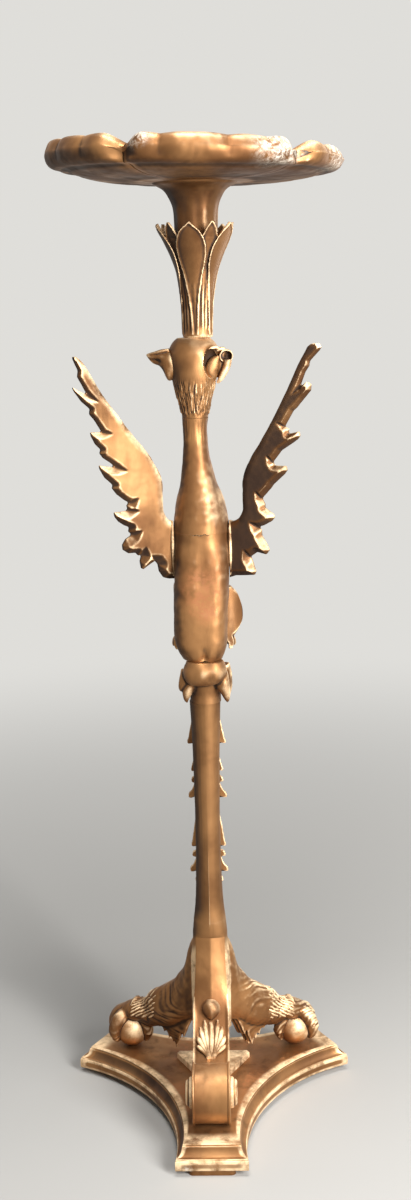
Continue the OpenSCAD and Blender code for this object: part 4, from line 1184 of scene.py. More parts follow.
def makeBody():
    low, high = bodyLow, highOf("body_block")
    w = body["halfWidth"]
    store = newStore()
    rings = []
    for j in range(61):
        t = j / 60
        shift = body["rumpShift"] * along([(0, 0), (0.1, 1), (0.5, 1), (0.6, 0), (1, 0)], t)
        front = along([(0, -34), (0.05, -38), (0.12, -40.5), (0.22, -42), (0.33, -42.6), (0.5, -40.5),
                       (0.8, -36), (1, -33)], t)
        rear = along([(0, 28), (0.3, 36), (0.62, 34), (0.8, 45), (0.9, 45), (1, 42)], t)
        half = along([(0, 27), (0.04, w - 7), (0.1, w - 3.5), (0.2, w - 0.5), (0.35, w - 0.5), (0.55, w - 2),
                      (0.64, w - 3), (0.85, w - 4), (1, 35)], t)
        right = along([(0, 24), (0.05, 27), (0.12, 29), (0.3, 29.5), (0.45, 31), (0.6, w - 5),
                       (0.68, w - 3.6), (1, 35)], t)
        xMax = 999 if t < 0.6 else body["wingFlat"]
        yMax = 24 if t < 0.55 else 999
        rings.append(ovalRing(shift, front, rear, half, low + (high - low) * t, xMax, yMax,
                              0.95 - 0.25 * ease(t, 0, 0.15) * ease(t, 1, 0.8), 96, right))
    addLoft(store, rings)
    piece = makeObject("body_carved", store, 50)

    def flesh(p, n):
        # a cleft between the buttocks, a hollow down the spine, tool marks
        cleft = -4.5 * math.exp(-((p.x - 1) / 4.2)**2) * ease(p.z, low + 26, low + 2) * ease(-n.y, 0.2, 0.7)
        spine = -0.9 * math.exp(-(p.x / 7)**2) * ease(p.z, low + 60, low + 110) * ease(-n.y, 0.3, 0.8)
        marks = 0.9 * rough(p, 26, 3) + 0.4 * rough(p, 9, 5)
        shape = cleft + spine + (marks - 0.4) * ease(high - p.z, 0, 12)
        return shape * ease(abs(n.z), 0.97, 0.8)

    carve(piece, flesh)
    for v in piece.data.vertices:
        v.co.z = high * mm if v.co.z > (high - 0.9) * mm else max(v.co.z, low * mm)
    settle(piece, ["body_block"], bodyGilt, reach=5, height=1.6, seams=(low, high))


def makeHaunch(s, node):
    # thigh, shin and clawed foot, bent up against the body
    low = lowOf(node)
    flat = 24.2
    foot = s * 26 + (0 if s > 0 else -1)
    thigh = s * 26 + 7
    store = newStore()
    addTube(store, [(thigh - s * 3, flat + 4, low + 82, 6), (thigh, flat + 8, low + 66, 14),
                    (thigh + s, flat + 9, low + 44, 17.5), (thigh - s, flat + 10, low + 28, 13),
                    (foot, flat + 7, low + 14, 8)], 30, 24, 0.92, (1, 0, 0))
    for turn in (-32, 0, 32):
        c, t = round01(turn)
        path = [(foot, flat + 5, low + 17, 6.5)]
        for reach, z, size in ((10, 14, 5.8), (17, 9, 5.2), (22, 3, 3.6)):
            path.append((foot + reach * t * 0.75 + turn * 0.09, flat + 3 + reach * c, low + z, size))
        addTube(store, path, 18, 12)
    for j in range(5):
        # toes that grip the capital at its side
        y = flat + 3 + j * 4.4
        addTube(store, [(foot + s * 4, flat + 2 + j * 4.2, low + 20, 5), (foot + s * 8, y, low + 10, 4.4),
                        (foot + s * 7, y, low + 1.2, 2.6)], 10, 10)
    piece = makeObject(node + "_carved", store)
    fuse(piece, 1.2, 2)
    carve(piece, lambda p, n: 0.7 * noise.noise(Vector(((p.x + p.z * 0.2) / 2.6, p.y / 3, p.z / 16)))
          * ease(p.z, low + 20, low + 36) * ease(p.z, low + 84, low + 50) - 0.3)
    # the side towards the back rounds away from the body
    for v in piece.data.vertices:
        away = max(abs(v.co.x / mm) - 27, 0) / 24
        v.co.y = max(v.co.y, (flat + 13 * away * away) * mm)
        v.co.z = max(v.co.z, (low + 0.2) * mm)
    settle(piece, [node], plainGilt, reach=3, height=0.8)


def makeNeck():
    low, high = neckLow, highOf("neck_block")
    w, n0 = body["wingFlat"], body["neckHalf"]
    store = newStore()
    rings = []
    for j in range(71):
        t = j / 70
        lean = -body["lean"] * along([(0, 0), (0.3, 0.15), (0.6, 0.9), (0.85, 1.2), (1, 1.1)], t)
        front = along([(0, -33), (0.28, -29), (0.42, -24), (0.62, -19), (0.88, -16.3), (1, -17.7)], t)
        rear = along([(0, 42), (0.28, 36), (0.42, 29), (0.62, 21), (0.88, 17), (1, 18)], t)
        half = along([(0, w + 1), (0.13, w - 0.5), (0.28, 29.5), (0.42, n0 + 8.6), (0.62, n0 + 3.2),
                      (0.78, n0 + 0.8), (0.9, n0 + 0.2), (1, n0 + 1.3)], t)
        rings.append(ovalRing(lean, front, rear, half, low + (high - low) * t, w, 999, 0.95, 96))
    addLoft(store, rings)
    piece = makeObject("neck_carved", store, 50)

    def flesh(p, n):
        hair = noise.noise(Vector((math.degrees(math.atan2(p.y, p.x + 4)) / 7.5, p.z / 34, 2)))
        marks = 0.9 * hair * ease(p.z, high - 42, high - 6) + 0.7 * rough(p, 24, 7) + 0.25 * rough(p, 7, 1)
        return (marks - 0.4) * ease(p.z - low, 0, 12) * ease(high - p.z, 0, 8) * ease(abs(n.z), 0.97, 0.8)

    carve(piece, flesh)
    for v in piece.data.vertices:
        if v.co.z < (low + 0.9) * mm:
            v.co.z = low * mm
        if v.co.z > (high - 0.9) * mm:
            v.co.z = high * mm
    settle(piece, ["neck_block"], neckGilt, reach=5, height=1.2, seams=(low, high))


def makeCrack():
    # a thin ragged line of old dirt where the joint of body and neck has opened
    z = highOf("body_block")
    store = newStore()
    path = []
    for x, rise in ((-20, 1.4), (-16, 0.1), (-12.5, 0.9), (-9, -0.9), (-5, 0.3), (-2, -1.0), (1.5, -0.5),
                    (4.5, 0.9), (8, -0.4), (11, 0.2), (14, -1.0)):
        y = 4.5 - 37.3 * (1 - (x / 35)**2)**0.5
        path.append((x, y, z + rise, 0.55 if -19 < x < 13 else 0.2))
    for a, b in zip(path, path[1:]):
        addTube(store, [a, b], 2, 6)
    settle(makeObject("joint_crack", store), ["body_block"], crackDirt, reach=1, height=2, tilt=0)


makeCapital()
makeBody()
makeCrack()
makeHaunch(-1, "haunch_left")
makeHaunch(1, "haunch_right")
makeNeck()


# Wings: carved plates cut into feather ends, each wing with its own outline in (run, height) mm
wings = {
    "sweep": 25, "voxel": 1.1, "edge": 1.6, "cut": 15, "under": 1.15, "innerSlope": 0.8,
    "left": {
        "topSlope": (0.8, 0.8),
        "inner": [(0, 779), (8, 782), (14, 793), (14, 812), (15, 832), (24, 851), (33, 866), (57, 896), (87, 937),
                  (107, 971), (118, 983)],
        "ends": [[(118, 983), (121.5, 982.5), (120.5, 976), (116, 966), (117, 959), (108, 942), (103, 936)],
                 [(124.5, 948), (122, 942), (113, 930), (103, 921), (104, 915), (98.5, 908), (89, 893)],
                 [(103.5, 893.5), (103, 889), (98, 879), (91.5, 872.5), (93, 868), (89, 862), (79, 855), (72, 849.5)],
                 [(94.5, 854), (93.5, 849), (87, 838), (77.5, 829), (78.5, 825), (73, 817), (63, 809), (57, 806)],
                 [(61, 803), (59.5, 797)],
                 [(77.5, 795.5), (76.5, 790), (72, 784), (65, 779), (58.5, 776), (59.5, 770.5), (55, 767)],
                 [(63.5, 762), (68, 755), (67.5, 749), (60.5, 744), (51, 744), (48, 740), (43.5, 741.5)],
                 [(46, 733), (44.5, 724), (42, 722.5), (34, 727.5), (26, 732)],
                 [(22.5, 727), (21, 718), (15.5, 710), (8, 707.5), (0, 707)]]},
    "right": {
        "topSlope": (0.9, 2.0),
        "inner": [(0, 779), (6, 778), (15, 783), (20, 793), (20, 812), (21, 831), (29, 852), (44, 876), (54, 892),
                  (75, 930), (94, 968), (105, 988)],
        "ends": [[(105, 988), (111, 992), (119, 992.3), (122.5, 988), (120, 984), (108, 972), (107, 966),
                  (102, 959), (95, 941)],
                 [(104, 948), (109.5, 945), (109, 938), (91, 917), (87, 914), (76, 895)],
                 [(80.5, 892), (80.5, 886), (94, 889.5), (95.5, 884), (92, 880), (71, 866), (67.5, 861), (60, 852)],
                 [(62.5, 848), (77, 848), (78.5, 843), (75, 838), (60.5, 825), (57, 820), (45, 808)],
                 [(49, 801), (49.5, 796), (60, 789), (61.5, 785), (58, 780.5), (46.5, 774), (40, 772.5)],
                 [(44, 769), (44.5, 762), (50, 753), (54, 744.5), (50, 739), (38, 741.5), (29, 735)],
                 [(31, 731), (36, 717), (34, 712.5), (9, 710), (0, 707)]]},
}


def awayFrom(spots, line):
    # distance of each spot from a line of points, which side it lies on, and how far along it is
    best = np.full(len(spots), 1e9)
    side = np.zeros(len(spots))
    share = np.zeros(len(spots))
    for k in range(len(line) - 1):
        a, b = np.array(line[k]), np.array(line[k + 1])
        run = b - a
        t = np.clip(((spots - a) @ run) / max(run @ run, 1e-9), 0, 1)
        gap = spots - a - t[:, None] * run
        d = np.hypot(gap[:, 0], gap[:, 1])
        closer = d < best
        best = np.where(closer, d, best)
        side = np.where(closer, run[0] * gap[:, 1] - run[1] * gap[:, 0], side)
        share = np.where(closer, (k + t) / (len(line) - 1), share)
    return best, side, share


def makeWing(s, node):
    w = wings["left" if s < 0 else "right"]
    outline = smoothPath(w["inner"], 60)[:-1]
    for span in w["ends"]:
        outline += span
    store = newStore()
    n = len(outline)
    store["points"] = [Vector((run, off, z)) for off in (-6, 6) for run, z in outline]
    store["faces"] = [tuple(range(n)), tuple(range(2 * n - 1, n - 1, -1))]
    store["faces"] += [(i, (i + 1) % n, n + (i + 1) % n, n + i) for i in range(n)]
    wing = makeObject(node + "_carved", store)
    fuse(wing, wings["voxel"], 2)
    points = np.empty(len(wing.data.vertices) * 3)
    wing.data.vertices.foreach_get("co", points)
    points = points.reshape(-1, 3) / mm
    spots = points[:, [0, 2]]
    # arm with a rounded inner edge; each feather end has a pale facet above and a steep dark wall below
    full = np.interp(spots[:, 1], [707, 760, 800, 880, 940, 992], [9.6, 9.4, 8.6, 7.4, 6.0, 4.4])
    inner = awayFrom(spots, w["inner"])[0] * wings["innerSlope"] / full
    height = wings["edge"] + (full - wings["edge"]) * np.sqrt(np.clip(1 - np.clip(1 - inner, 0, 1)**2, 0, 1))
    top = np.interp(spots[:, 1], [790, 850], w["topSlope"])
    for number, span in enumerate(w["ends"]):
        below = awayFrom(spots, span[(0 if number else 2):])[0]
        height = np.minimum(height, wings["edge"] + wings["under"] * below)
        if number:
            tip, notch = Vector(span[0]), Vector(w["ends"][number - 1][-1])
            inward = notch + (notch - tip).normalized() * wings["cut"] + Vector((0, -2))
            foot = [inward.lerp(notch, k / 4) for k in range(5)]
            foot += [notch.lerp(tip, k / 4) for k in range(1, 5)]
            far, side, share = awayFrom(spots, foot)
            lift = full * np.clip(1 - share / 0.5, 0, 1)**1.3
            rise = np.where(side > 0, wings["under"], top)
            height = np.minimum(height, wings["edge"] + lift + rise * far)
    c, t = round01(wings["sweep"])
    off = points[:, 1] / 6 * height
    x = s * np.maximum(34.1 + points[:, 0] * c + off * t, 34.1)
    y = -points[:, 0] * t + off * c
    wing.data.vertices.foreach_set("co", (np.stack([x, y, points[:, 2]], axis=1) * mm).ravel())
    work = bmesh.new()
    work.from_mesh(wing.data)
    bmesh.ops.recalc_face_normals(work, faces=work.faces)
    work.to_mesh(wing.data)
    work.free()
    wing.data.update()
    carve(wing, lambda p, n: (0.45 * rough(p, 17, s) + 0.12 * rough(p, 6, 3) - 0.1) if abs(p.x) > 36 else 0)
    # a high tilt paints the upward facets of the feather ends pale and their undersides dark: painted highlight and
    # painted shade
    settle(wing, [node], wingGilt if s < 0 else wingPaintedShade, reach=2.4, height=1.2, tilt=0.75)


# Raised seam where each wing meets the body
def makeSeams(s, node):
    store = newStore()
    path = [(s * 35.0, -9, 712, 0.8), (s * 35.2, -11.5, 730, 1.8), (s * 35.2, -12.5, 750, 2.0),
            (s * 35.0, -11, 768, 1.8), (s * 34.8, -8, 780, 0.7)]
    addTube(store, path, 30, 12)
    settle(makeObject(node + "_seam", store), [node], wingGilt, reach=2, height=0.4)


# the right wing turns its face away from the key lamp, so it gets a darker copy of the wing gilt: painted shade
wingGilt = gildedWood("gilt_wings", 0.6, 0.2, tone=0.72, dull=0.14)
wingPaintedShade = gildedWood("gilt_wing_painted_shade", 0.8, 0.2, tone=0.62, dull=0.08)
makeWing(-1, "wing_left")
makeWing(1, "wing_right")
makeSeams(-1, "wing_left")
makeSeams(1, "wing_right")


# Head, seen from behind: a smooth skull, pointed locks on the nape, a hollow where the right ear folds
head = {"shift": -4.4, "voxel": 1.0, "ear": (17.5, -30, 968), "earSize": (10.5, 15, 19.5),
        "rows": ((0.50, 17, 19), (0.38, 19, 22), (0.25, 17, 20)), "nape": 0.015}
skullBack = [(0, -17.4), (0.2, -20), (0.45, -26.5), (0.66, -29.6), (0.8, -29.4), (0.9, -26), (0.96, -22),
             (1, -17)]
skullFront = [(0, 18), (0.25, 27), (0.5, 31), (0.7, 31), (0.86, 27), (1, 17)]
skullHalf = [(0, 15.6), (0.1, 17), (0.28, 21.7), (0.48, 27), (0.66, 30.3), (0.8, 31), (0.87, 29.3), (0.92, 27),
             (0.966, 23.5), (1, 19.5)]


def skullPoint(a, t, lift=0.0):
    low, high = headLow, highOf("head")
    c, s = round01(a)
    reach = -along(skullBack, t) if s < 0 else along(skullFront, t)
    x = head["shift"] + (along(skullHalf, t) + lift) * c
    return Vector((x, (reach + lift) * s, low + (high - low) * t))


def makeHead():
    low, high = headLow, highOf("head")
    store = newStore()
    addLoft(store, [[skullPoint(5 * i, -0.035 + 1.035 * j / 44) for i in range(72)] for j in range(45)])
    # short locks in three rows; each stands off at its tip, so a dark gap shows under it
    rise = high - low
    for row, (top, count, drop) in enumerate(head["rows"]):
        for i in range(count):
            a = -178 + 176 * (i + 0.5 * (row % 2)) / (count - 0.5)
            luck = noise.noise(Vector((i * 1.7 + 0.3, row * 5.3, 3.1)))
            t0 = top + 0.10 * noise.noise(Vector((i * 2.3, row * 1.3, 9.4)))
            long = drop * (1 + 0.45 * luck) * (1 + 0.25 * abs(math.cos(math.radians(a))))
            t1 = max(t0 - long / rise, head["nape"] + 0.03 * (1 + luck))
            path = []
            stand = 0.5 + 0.9 * abs(math.cos(math.radians(a)))**3
            for share, lift, size in ((0, -1.6, 0.9), (0.3, -0.7, 1.7), (0.6, -0.3, 1.8),
                                      (0.85, 0.6 * stand, 1.3), (1, 1.3 * stand, 0.3)):
                t = t0 + (t1 - t0) * share
                swing = a + (11 * luck + 5 * math.sin(i * 2.1 + row)) * share**1.5
                path.append((*skullPoint(swing, t, lift), size))
            c, t = round01(a)
            addTube(store, path, 18, 10, 0.62, (c, t, 0))
    # rolled rim above the hollow of the right ear
    earX, earY, earZ = head["ear"]
    addTube(store, [(earX - 8, -27, earZ + 12, 1.0), (earX - 3, -23, earZ + 18, 1.9),
                    (earX + 4, -17, earZ + 20.5, 2.4), (earX + 9, -12, earZ + 18, 2.4)], 24, 12)
    # brows and eyes on the face
    for s in (-1, 1):
        x = head["shift"]
        addTube(store, [(x + s * 5, 33, low + 66, 2.5), (x + s * 14, 33, low + 71, 4.6),
                        (x + s * 23, 24, low + 68, 3.6), (x + s * 28, 14, low + 60, 1.5)], 24, 12)
        addTube(store, [(x + s * 8, 31, low + 55, 1.6), (x + s * 16, 30, low + 51, 2.8),
                        (x + s * 23, 22, low + 54, 1.6)], 18, 10)
        eye = Matrix.Translation(Vector((x + s * 15, 25.5, low + 60)))
        addLathe(store, ballProfile(6.4, 12), eye, 24)
    skull = makeObject("head_carved", store)
    fuse(skull, head["voxel"], 1)
    # the hollow of the ear is cut out, then a fold is left standing in it
    cutter = newStore()
    rings = []
    for j in range(41):
        v = -1 + 2 * j / 40
        wide = max(1 - abs(v)**2.6, 0.0)**0.5 * (1.0 if v > 0 else 1 + 0.32 * v)
        across, deep, tall = head["earSize"]
        x = earX + 2.2 * max(-v, 0)
        rings.append([Vector((x + across * wide * c, earY + 6 + deep * wide * s, earZ + tall * v))
                      for c, s in circle(48)])
    addLoft(cutter, rings)
    knife = makeObject("ear_knife", cutter)
    cut = skull.modifiers.new("hollow", "BOOLEAN")
    cut.operation = "DIFFERENCE"
    cut.object = knife
    applied(skull)
    bpy.data.objects.remove(knife)

    def marks(p, n):
        swirl = 1.6 * noise.noise(Vector((p.x / 16, p.z / 14, 2)))
        strand = noise.noise(Vector((math.degrees(math.atan2(p.y, p.x + 4)) / 3.4 + swirl, p.z / 17, 6)))
        hairy = ease(p.z, low + 52, low + 34)
        lumps = (0.35 * rough(p, 14, 8) - 0.2) * ease(p.z, low, low + 10)
        return 1.1 * strand * hairy * ease(p.z, low, low + 8) + lumps

    carve(skull, marks)
    for v in skull.data.vertices:
        v.co.z = clamp(v.co.z, (low + 0.05) * mm, high * mm)
    skull.data.update()
    settle(skull, ["head"], skullGilt, reach=2.2, height=0.7, seams=(low,))
    # the fold that stands lit in the hollow
    store = newStore()
    fold = [(8, -11, 10, 2), (3, -12.5, 4, 6.5), (0, -13.5, -5, 8), (1, -13, -13, 5.5), (1, -12, -19, 2)]
    addTube(store, [(earX + x, y, earZ + z, r) for x, y, z, r in fold], 24, 18, 0.4, (0.35, -0.9, 0.25))
    settle(makeObject("ear_fold", store), ["head"], foldGilt, reach=2, height=4, tilt=0.1)


def makeEars():
    x0 = head["shift"]
    # left ear: a plump shell on the skull that draws out into a turned-up tip with a hollow under it
    store = newStore()
    rows = [(-24, 983, 953, 12), (-28, 986, 951, 14), (-31.5, 988, 950, 14.5), (-35, 988, 949.5, 14),
            (-38, 987.4, 952.5, 13), (-42, 986.3, 962, 11), (-46, 985.4, 967, 9), (-50, 984.4, 968.5, 7.5), (-54, 983.5, 970.5, 6),
            (-58, 982.4, 975, 4), (-61.4, 981.3, 980.3, 1.2)]
    rings = []
    for x, top, bottom, deep in smoothPath(rows, 40):
        middle, half = (top + bottom) / 2, (top - bottom) / 2
        rings.append([Vector((x, -2 + deep * s * (0.5 if s > 0 else 1), middle + half * c))
                      for c, s in (round01(360 * i / 40) for i in range(40))])
    addLoft(store, rings)
    addTube(store, [(-34, -9, 986.5, 2), (-42, -9, 985.3, 2.3), (-50, -7.5, 983.3, 2.1),
                    (-57, -4.5, 981.8, 1.6), (-61.5, -2.5, 981, 0.6)], 24, 12)
    ear = makeObject("ear_left_carved", store)
    fuse(ear, 0.9, 2)

    def hollow(p, n):
        tip = math.exp(-(((p.x + 52) / 6)**2 + ((p.z - 973.5) / 4)**2))
        return -4.5 * tip * ease(-n.y, -0.3, 0.4) + 0.35 * rough(p, 9, 4) - 0.1

    carve(ear, hollow)
    for v in ear.data.vertices:
        v.co.x = min(v.co.x, (x0 - 19) * mm)
    ear.data.update()
    settle(ear, ["ear_left"], headGilt, reach=3, height=0.9)
    # right ear: a lobe beside the hollow, its edge rolled into a small cup above
    store = newStore()
    centre, outward = Vector((34.2, -10, 978.5)), Vector((0.15, -0.95, -0.28)).normalized()
    side = outward.cross(Vector((0, 0, 1))).normalized()
    up = side.cross(outward)
    rings = []
    for reach, lift in ((0.3, -7), (5.2, -7), (7.2, -4), (8.3, 0), (8.4, 2.2), (7.6, 3.0), (6.7, 2.2),
                        (6.3, -1), (5, -4.5), (0.3, -5.2)):
        rings.append([centre + outward * lift + side * (reach * c) + up * (reach * s * 0.97)
                      for c, s in (round01(360 * i / 40) for i in range(40))])
    addLoft(store, rings)
    addTube(store, [(23, -13, 985, 2.0), (27, -13, 986.5, 2.4), (33, -11.5, 987, 2.0)], 16, 12)
    addTube(store, [(36, -8, 974, 5.5), (34.5, -8.5, 966, 5), (31, -9, 958, 4.4), (27, -9, 951, 3.2),
                    (23.5, -8, 946, 1.5)], 28, 16)
    addTube(store, [(29, -4, 984, 6), (28, -3, 972, 7), (27, -3, 960, 6), (25, -4, 952, 3)], 20, 16)
    ear = makeObject("ear_right_carved", store)
    fuse(ear, 0.9, 1)
    for v in ear.data.vertices:
        v.co.x = max(v.co.x, 22.7 * mm)
    ear.data.update()
    settle(ear, ["ear_right"], earGilt, reach=3, height=0.9)


def makeMuzzle():
    low = headLow
    x0, y0 = head["shift"], lowOf("muzzle", 1)
    length = highOf("muzzle", 1) - y0
    rows = [(0, 19, 20, 0), (0.2, 18.5, 19, -2), (0.42, 15.5, 15, -5), (0.62, 12.5, 12, -9),
            (0.8, 11, 10.5, -13), (0.93, 8.5, 8, -16), (1, 3.5, 3.5, -18)]
    rings = []
    for j in range(41):
        t = j / 40
        half, tall, drop = columns(rows, t)
        rings.append([Vector((x0 + half * c, y0 + length * t, low + 47.5 + drop + tall * s))
                      for c, s in circle(48)])
    store = newStore()
    addLoft(store, rings)
    # nostril wings and a ridge down the nose
    for s in (-1, 1):
        wing = [(4, 0.93, 36, 2.2), (8, 0.86, 38.5, 3), (9.5, 0.76, 38, 2.2)]
        addTube(store, [(x0 + s * x, y0 + length * y, low + z, r) for x, y, z, r in wing], 16, 12)
    addTube(store, [(x0, y0 + 1, low + 66, 4), (x0, y0 + length * 0.4, low + 56, 3.4),
                    (x0, y0 + length * 0.8, low + 43.5, 3)], 20, 12)
    muzzle = makeObject("muzzle_carved", store)
    fuse(muzzle, 1.1, 2)

    def mouth(p, n):
        t = clamp((p.y - y0) / length)
        line = low + 40 - 14 * t + 3 * math.sin(t * 5)
        groove = -2.6 * math.exp(-((p.z - line) / 1.6)**2) * ease(t, 0.1, 0.3)
        pits = sum(math.exp(-((p.x - x0 - s * 6)**2 + (p.z - low - 35)**2) / 7) for s in (-1, 1))
        nostril = -2.4 * pits * ease(t, 0.8, 0.92)
        wrinkle = 0.5 * math.sin(p.y * 0.9 + 2 * rough(p, 10, 2))
        wrinkle *= ease(p.z, low + 44, low + 54) * ease(t, 0.9, 0.5)
        return groove + nostril + wrinkle + 0.25 * rough(p, 7, 6) - 0.3

    carve(muzzle, mouth)
    for v in muzzle.data.vertices:
        v.co.y = clamp(v.co.y, y0 * mm, (y0 + length) * mm)
    muzzle.data.update()
    settle(muzzle, ["muzzle"], headGilt, reach=3, height=0.9)


headGilt = gildedWood("gilt_head", 0.45, 0.15)
# the spots below paint shade inside the hollows of the ears
skullGilt = gildedWood("gilt_skull", 0.45, 0.15, paintedShadeSpots=((19, -12, 972, 15),))
foldGilt = gildedWood("gilt_fold", 0.8, 0.3, tone=0.6)
earGilt = gildedWood("gilt_ear", 0.45, 0.15, paintedShadeSpots=((34.5, -11, 977, 8.5),))
makeHead()
makeEars()
makeMuzzle()


# Stem: fine flutes that open into five broad leaves with five more behind them
stem = {"height": 133, "leafTurn": -99, "flutes": 24, "shift": 1, "voxel": 1.0,
        "radius": [(0, 17.6), (0.06, 17.8), (0.3, 19), (0.55, 24), (0.7, 30.5), (0.84, 39), (0.94, 45),
                   (1, 47.6)],
        "outerLeaf": [(0, 3.6), (0.28, 6), (0.5, 10.5), (0.7, 17), (0.82, 18.2), (0.93, 12), (1, 0.8)],
        "innerLeaf": [(0, 2.4), (0.4, 9), (0.7, 12), (0.9, 7), (1, 0.7)]}


def makeStem():
    low, tall = stemLow, stem["height"]
    store = newStore()
    cup = highOf("fluted_stem") - low
    hollow = hubLow - low - 0.1
    steps = [t / 40 * 0.86 for t in range(41)]
    profile = [(0.1, 0)]
    for t in steps:
        r = along(stem["radius"], t) - 2.6 * ease(t, 0.45, 0.62)
        if t > 0.012:
            r += 0.6 * math.exp(-((t - 0.03) / 0.012)**2)
        profile.append((r, t * tall))
    rim = profile[-1][0]
    profile += [(rim - 2.5, 0.86 * tall + 1), (rim - 5, 0.85 * tall - 2), (31, hollow + 8), (30, hollow),
                (0.1, hollow)]

    def fluted(r, h, a):
        t = h / tall
        groove = 0.5 + 0.5 * math.cos(math.radians(a * stem["flutes"]))
        depth = 1.3 * ease(t, 0.045, 0.12) * ease(t, 0.62, 0.36)
        return (r - depth * groove**1.6 if r > 12 else r), h

    addLathe(store, profile, Matrix.Translation(Vector((stem["shift"], 0, low))), 240, fluted)
    for k in range(10):
        outer = k % 2 == 0
        a = stem["leafTurn"] + 36 * k
        c, s = round01(a)
        out = Vector((c, s, 0))
        spine, up, widths = [], [], []
        start, end = (0.03, 0.985) if outer else (0.34, 1.0)
        for j in range(49):
            u = j / 48
            t = start + (end - start) * u
            r = along(stem["radius"], t) + (0.2 if outer else -2.2)
            ahead = along(stem["radius"], t + 0.01) - along(stem["radius"], t - 0.01)
            slope = ahead / (0.02 * tall) if t < 0.97 else 0.55
            facing = Vector((c, s, -slope)).normalized()
            spine.append(Vector((stem["shift"], 0, low + t * tall)) + out * r)
            up.append(facing)
            widths.append(along(stem["outerLeaf"] if outer else stem["innerLeaf"], u))
        addLeaf(store, spine, up, widths, 3.6 if outer else 2.6)
    piece = makeObject("stem_carved", store)
    fuse(piece, stem["voxel"], 0)
    limit = (low + cup) * mm
    for v in piece.data.vertices:
        v.co.z = clamp(v.co.z, low * mm, limit)
    piece.data.update()
    settle(piece, ["fluted_stem"], stemGilt, reach=2.4, height=0.6)


def addLeaf(store, spine, up, widths, thick):
    # broad leaf bent round the stem, its face sunk between two thin raised edges
    rings = []
    for p, u, w in zip(spine, up, widths):
        radius = max((Vector((p.x - stem["shift"], p.y, 0))).length, 10)
        ring = []
        for k in range(25):
            x = -1 + 2 * k / 24
            bend = math.degrees(w * x / radius)
            base = turned(Vector((p.x - stem["shift"], p.y, p.z)), bend) + Vector((stem["shift"], 0, 0))
            facing = turned(u, bend)
            edge = ease(abs(x), 1 - 3.2 / max(w, 3.2), 1 - 1.2 / max(w, 3.2))
            ring.append(base + facing * (-0.1 + 1.1 * edge - 0.5 * (1 - x * x)))
        for k in range(9):
            x = 1 - 2 * (k + 0.5) / 9
            bend = math.degrees(w * x * 0.93 / radius)
            base = turned(Vector((p.x - stem["shift"], p.y, p.z)), bend) + Vector((stem["shift"], 0, 0))
            ring.append(base - turned(u, bend) * thick)
        rings.append(ring)
    addLoft(store, rings)


def makeHub():
    low = hubLow
    rise = petalLow - low + 0.1
    r = 26.5
    keys = [(0, r - 1.5), (0.1, r - 0.7), (0.35, r - 0.4), (0.54, r + 0.3), (0.68, r + 2.4), (0.82, r + 7.4),
            (0.895, r + 12), (0.937, r + 17), (0.967, 48.6)]
    profile = [(0.1, 0)] + [(along(keys, 0.967 * i / 60), rise * 0.967 * i / 60) for i in range(61)]
    profile += [(49.4, rise - 0.9), (50, rise - 0.15), (30, rise - 0.15),
                (30, highOf("top_hub") - low), (0.1, highOf("top_hub") - low)]

    def folded(radius, height, a):
        # soft folds that die out where the trumpet opens
        t = height / rise
        if radius < 20 or t > 0.985:
            return radius, height
        fold = math.sin(math.radians(a * 5 + 40)) + 0.6 * math.sin(math.radians(a * 10 + 20))
        return radius + 0.75 * fold * ease(t, 0.97, 0.4) - 0.5, height

    store = newStore()
    addLathe(store, profile, Matrix.Translation(Vector((stem["shift"], 0, low))), 144, folded)
    hub = makeObject("top_hub_turned", store, 40)

    def toolMarks(p, n):
        bare = (p.x**2 + p.y**2) > 500 and p.z < petalLow - 3
        return 0.3 * rough(p, 11, 4) - 0.25 if bare else 0

    carve(hub, toolMarks)
    settle(hub, ["top_hub"], hubGilt, reach=6, height=1.4,
           calm=lambda x, y, z: np.clip((petalLow - z - 4) / 14, 0, 1))


# Top: five petals with rolled, scalloped lips; the lip is a little higher on the left
petal = {"radius": 176.2, "groove": 2.6, "dip": 2.8, "turn": 279, "tilt": 7, "inner": 30.3, "steps": 110,
         "rounding": 13, "drop": 11, "crest": 1220,
         "folds": ((-20.5, 5, 21), (-18, 1, 19), (-21, -3, 16), (-15, 4, 22), (-19, 0, 18))}


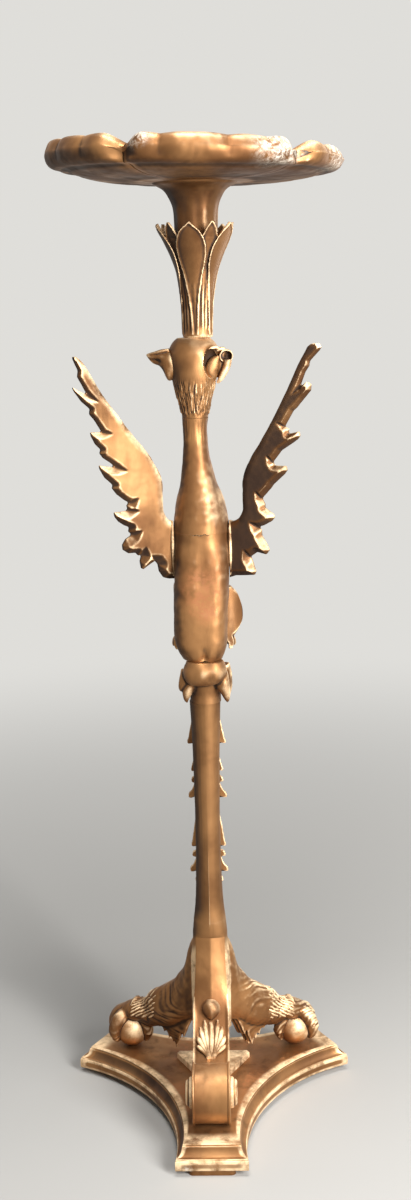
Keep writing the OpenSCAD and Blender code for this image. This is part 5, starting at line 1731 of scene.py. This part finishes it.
def petalProfile(a, turn, k):
    # section through the petal; soft folds part its lip into four lumps, its ends round off into the notches
    p = petal
    u = abs(a) / 36
    fold = 0
    for number, at in enumerate(p["folds"][k]):
        near = abs(a - at + 0.8 * noise.noise(Vector((a / 5, k * 3.7, 1))))
        if near < 9:
            deep = 0.75 + 0.35 * noise.noise(Vector((number * 2.7, k * 1.9, 4)))
            fold = max(fold, deep * (1 - math.sin(math.radians(10 * near)))**1.2)
    swell = 0.9 * noise.noise(Vector((a / 11, k * 2.3, 6)))
    west = -math.cos(math.radians(a + turn))
    rounded = ease(u, 0.70, 1.02)**1.7
    full = p["radius"] - 1.3 + 0.5 * swell
    reach = full - p["groove"] * fold - p["rounding"] * rounded
    under = full - 4 * rounded
    crest = p["crest"] - 0.9 - p["dip"] * fold - p["drop"] * rounded + p["tilt"] * west + 0.7 * swell
    low = (p["tilt"] + 1) * max(west, 0)
    base, floor = petalLow, petalLow + 21
    groove = 1.6 * fold
    return [(p["inner"], base), (44, base), (56, base + 0.1), (under * 0.5, base + 0.6 + low * 0.2),
            (under * 0.66, base + 1.6 + low * 0.4), (under - 36, base + 4 + low * 0.8),
            (under - 27, base + 6.6 + low), (under - 22, base + 7.8 + low), (under - 18, base + 7.8 + low),
            (under - 12 - groove * 0.3, base + 8.6 + low),
            (min(under, reach + 4) - 5.5 - groove * 0.5, base + 12 + low),
            (reach - 1.6 - groove * 0.5, base + 18 + low * 0.9),
            (reach - groove, base + 25 + low / 2 + p["tilt"] * west / 2), (reach - 1.4 - groove, crest - 10),
            (reach - 4.6 - groove, crest - 3.6), (reach - 9.5, crest - 0.5), (reach - 14, crest),
            (reach - 19.5, crest - 2.6), (reach - 25, crest - 8.5), (reach - 33, crest - 14.5),
            (reach - 46, floor + 3.5), (reach * 0.62, floor + 0.6), (reach * 0.5, floor), (48, floor),
            (p["inner"], floor)]


def makePetal(k, node):
    p = petal
    turn = p["turn"] + 72 * k
    store = newStore()
    rings = []
    for j in range(p["steps"] + 1):
        a = 35.93 * (-1 + 2 * j / p["steps"])
        profile = smoothPath(petalProfile(a, turn, k), 84)
        shrink = 0.25 * ease(abs(a), 35.2, 35.85)
        ring = []
        for i, (r, z) in enumerate(profile):
            c, s = round01(a + turn)
            inward = 0.5 - i / 84
            z += shrink * math.copysign(min(abs(inward) * 6, 1), inward)
            ring.append(Vector((r * c + stem["shift"], r * s, z)))
        rings.append(ring)
    addLoft(store, rings)
    piece = makeObject(node + "_carved", store, 55)

    def toolMarks(q, n):
        if math.hypot(q.x, q.y) < 60:
            return 0
        under = ease(-n.z, 0.2, 0.8)
        sweep = noise.noise(Vector((math.degrees(math.atan2(q.y, q.x)) / 9, math.hypot(q.x, q.y) / 60, k)))
        return min(0.5 * sweep * under + 0.6 * rough(q, 22, 5 + k) * (1 - under) + 0.15 * rough(q, 6, 2) - 0.6, 0)

    carve(piece, toolMarks)

    def calm(x, y, z):
        # the meeting edges of the petals and of the hub are not rubbed
        off = np.abs((np.degrees(np.arctan2(y, x - stem["shift"])) - turn + 180) % 360 - 180)
        inner = np.clip((np.hypot(x, y) - 62) / 12, 0, 1)
        return np.minimum(inner, np.clip((35.2 - off) / 3, 0, 1))

    settle(piece, [node], topGilt, reach=5, height=1.4, calm=calm)


stemGilt = gildedWood("gilt_stem", 0.6, 0.1, grain=(1, 1, 0.1), tone=0.9)
hubGilt = gildedWood("gilt_hub", 0.8, 0.3, grain=(1, 1, 0.1), tone=0.75)
makeStem()
makeHub()
for number, place in enumerate(("front", "right", "back_right", "back_left", "left")):
    makePetal(number, "petal_" + place)

# What stays as the model made it gets its own finish
for name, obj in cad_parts.items():
    rusty = "screws" in name
    bare = "dowel" in name or "pegs" in name
    obj.data.materials.clear()
    obj.data.materials.append(steelFinish if rusty else woodFinish if bare else plinthGilt)
print("finishes are on the carried-over parts")
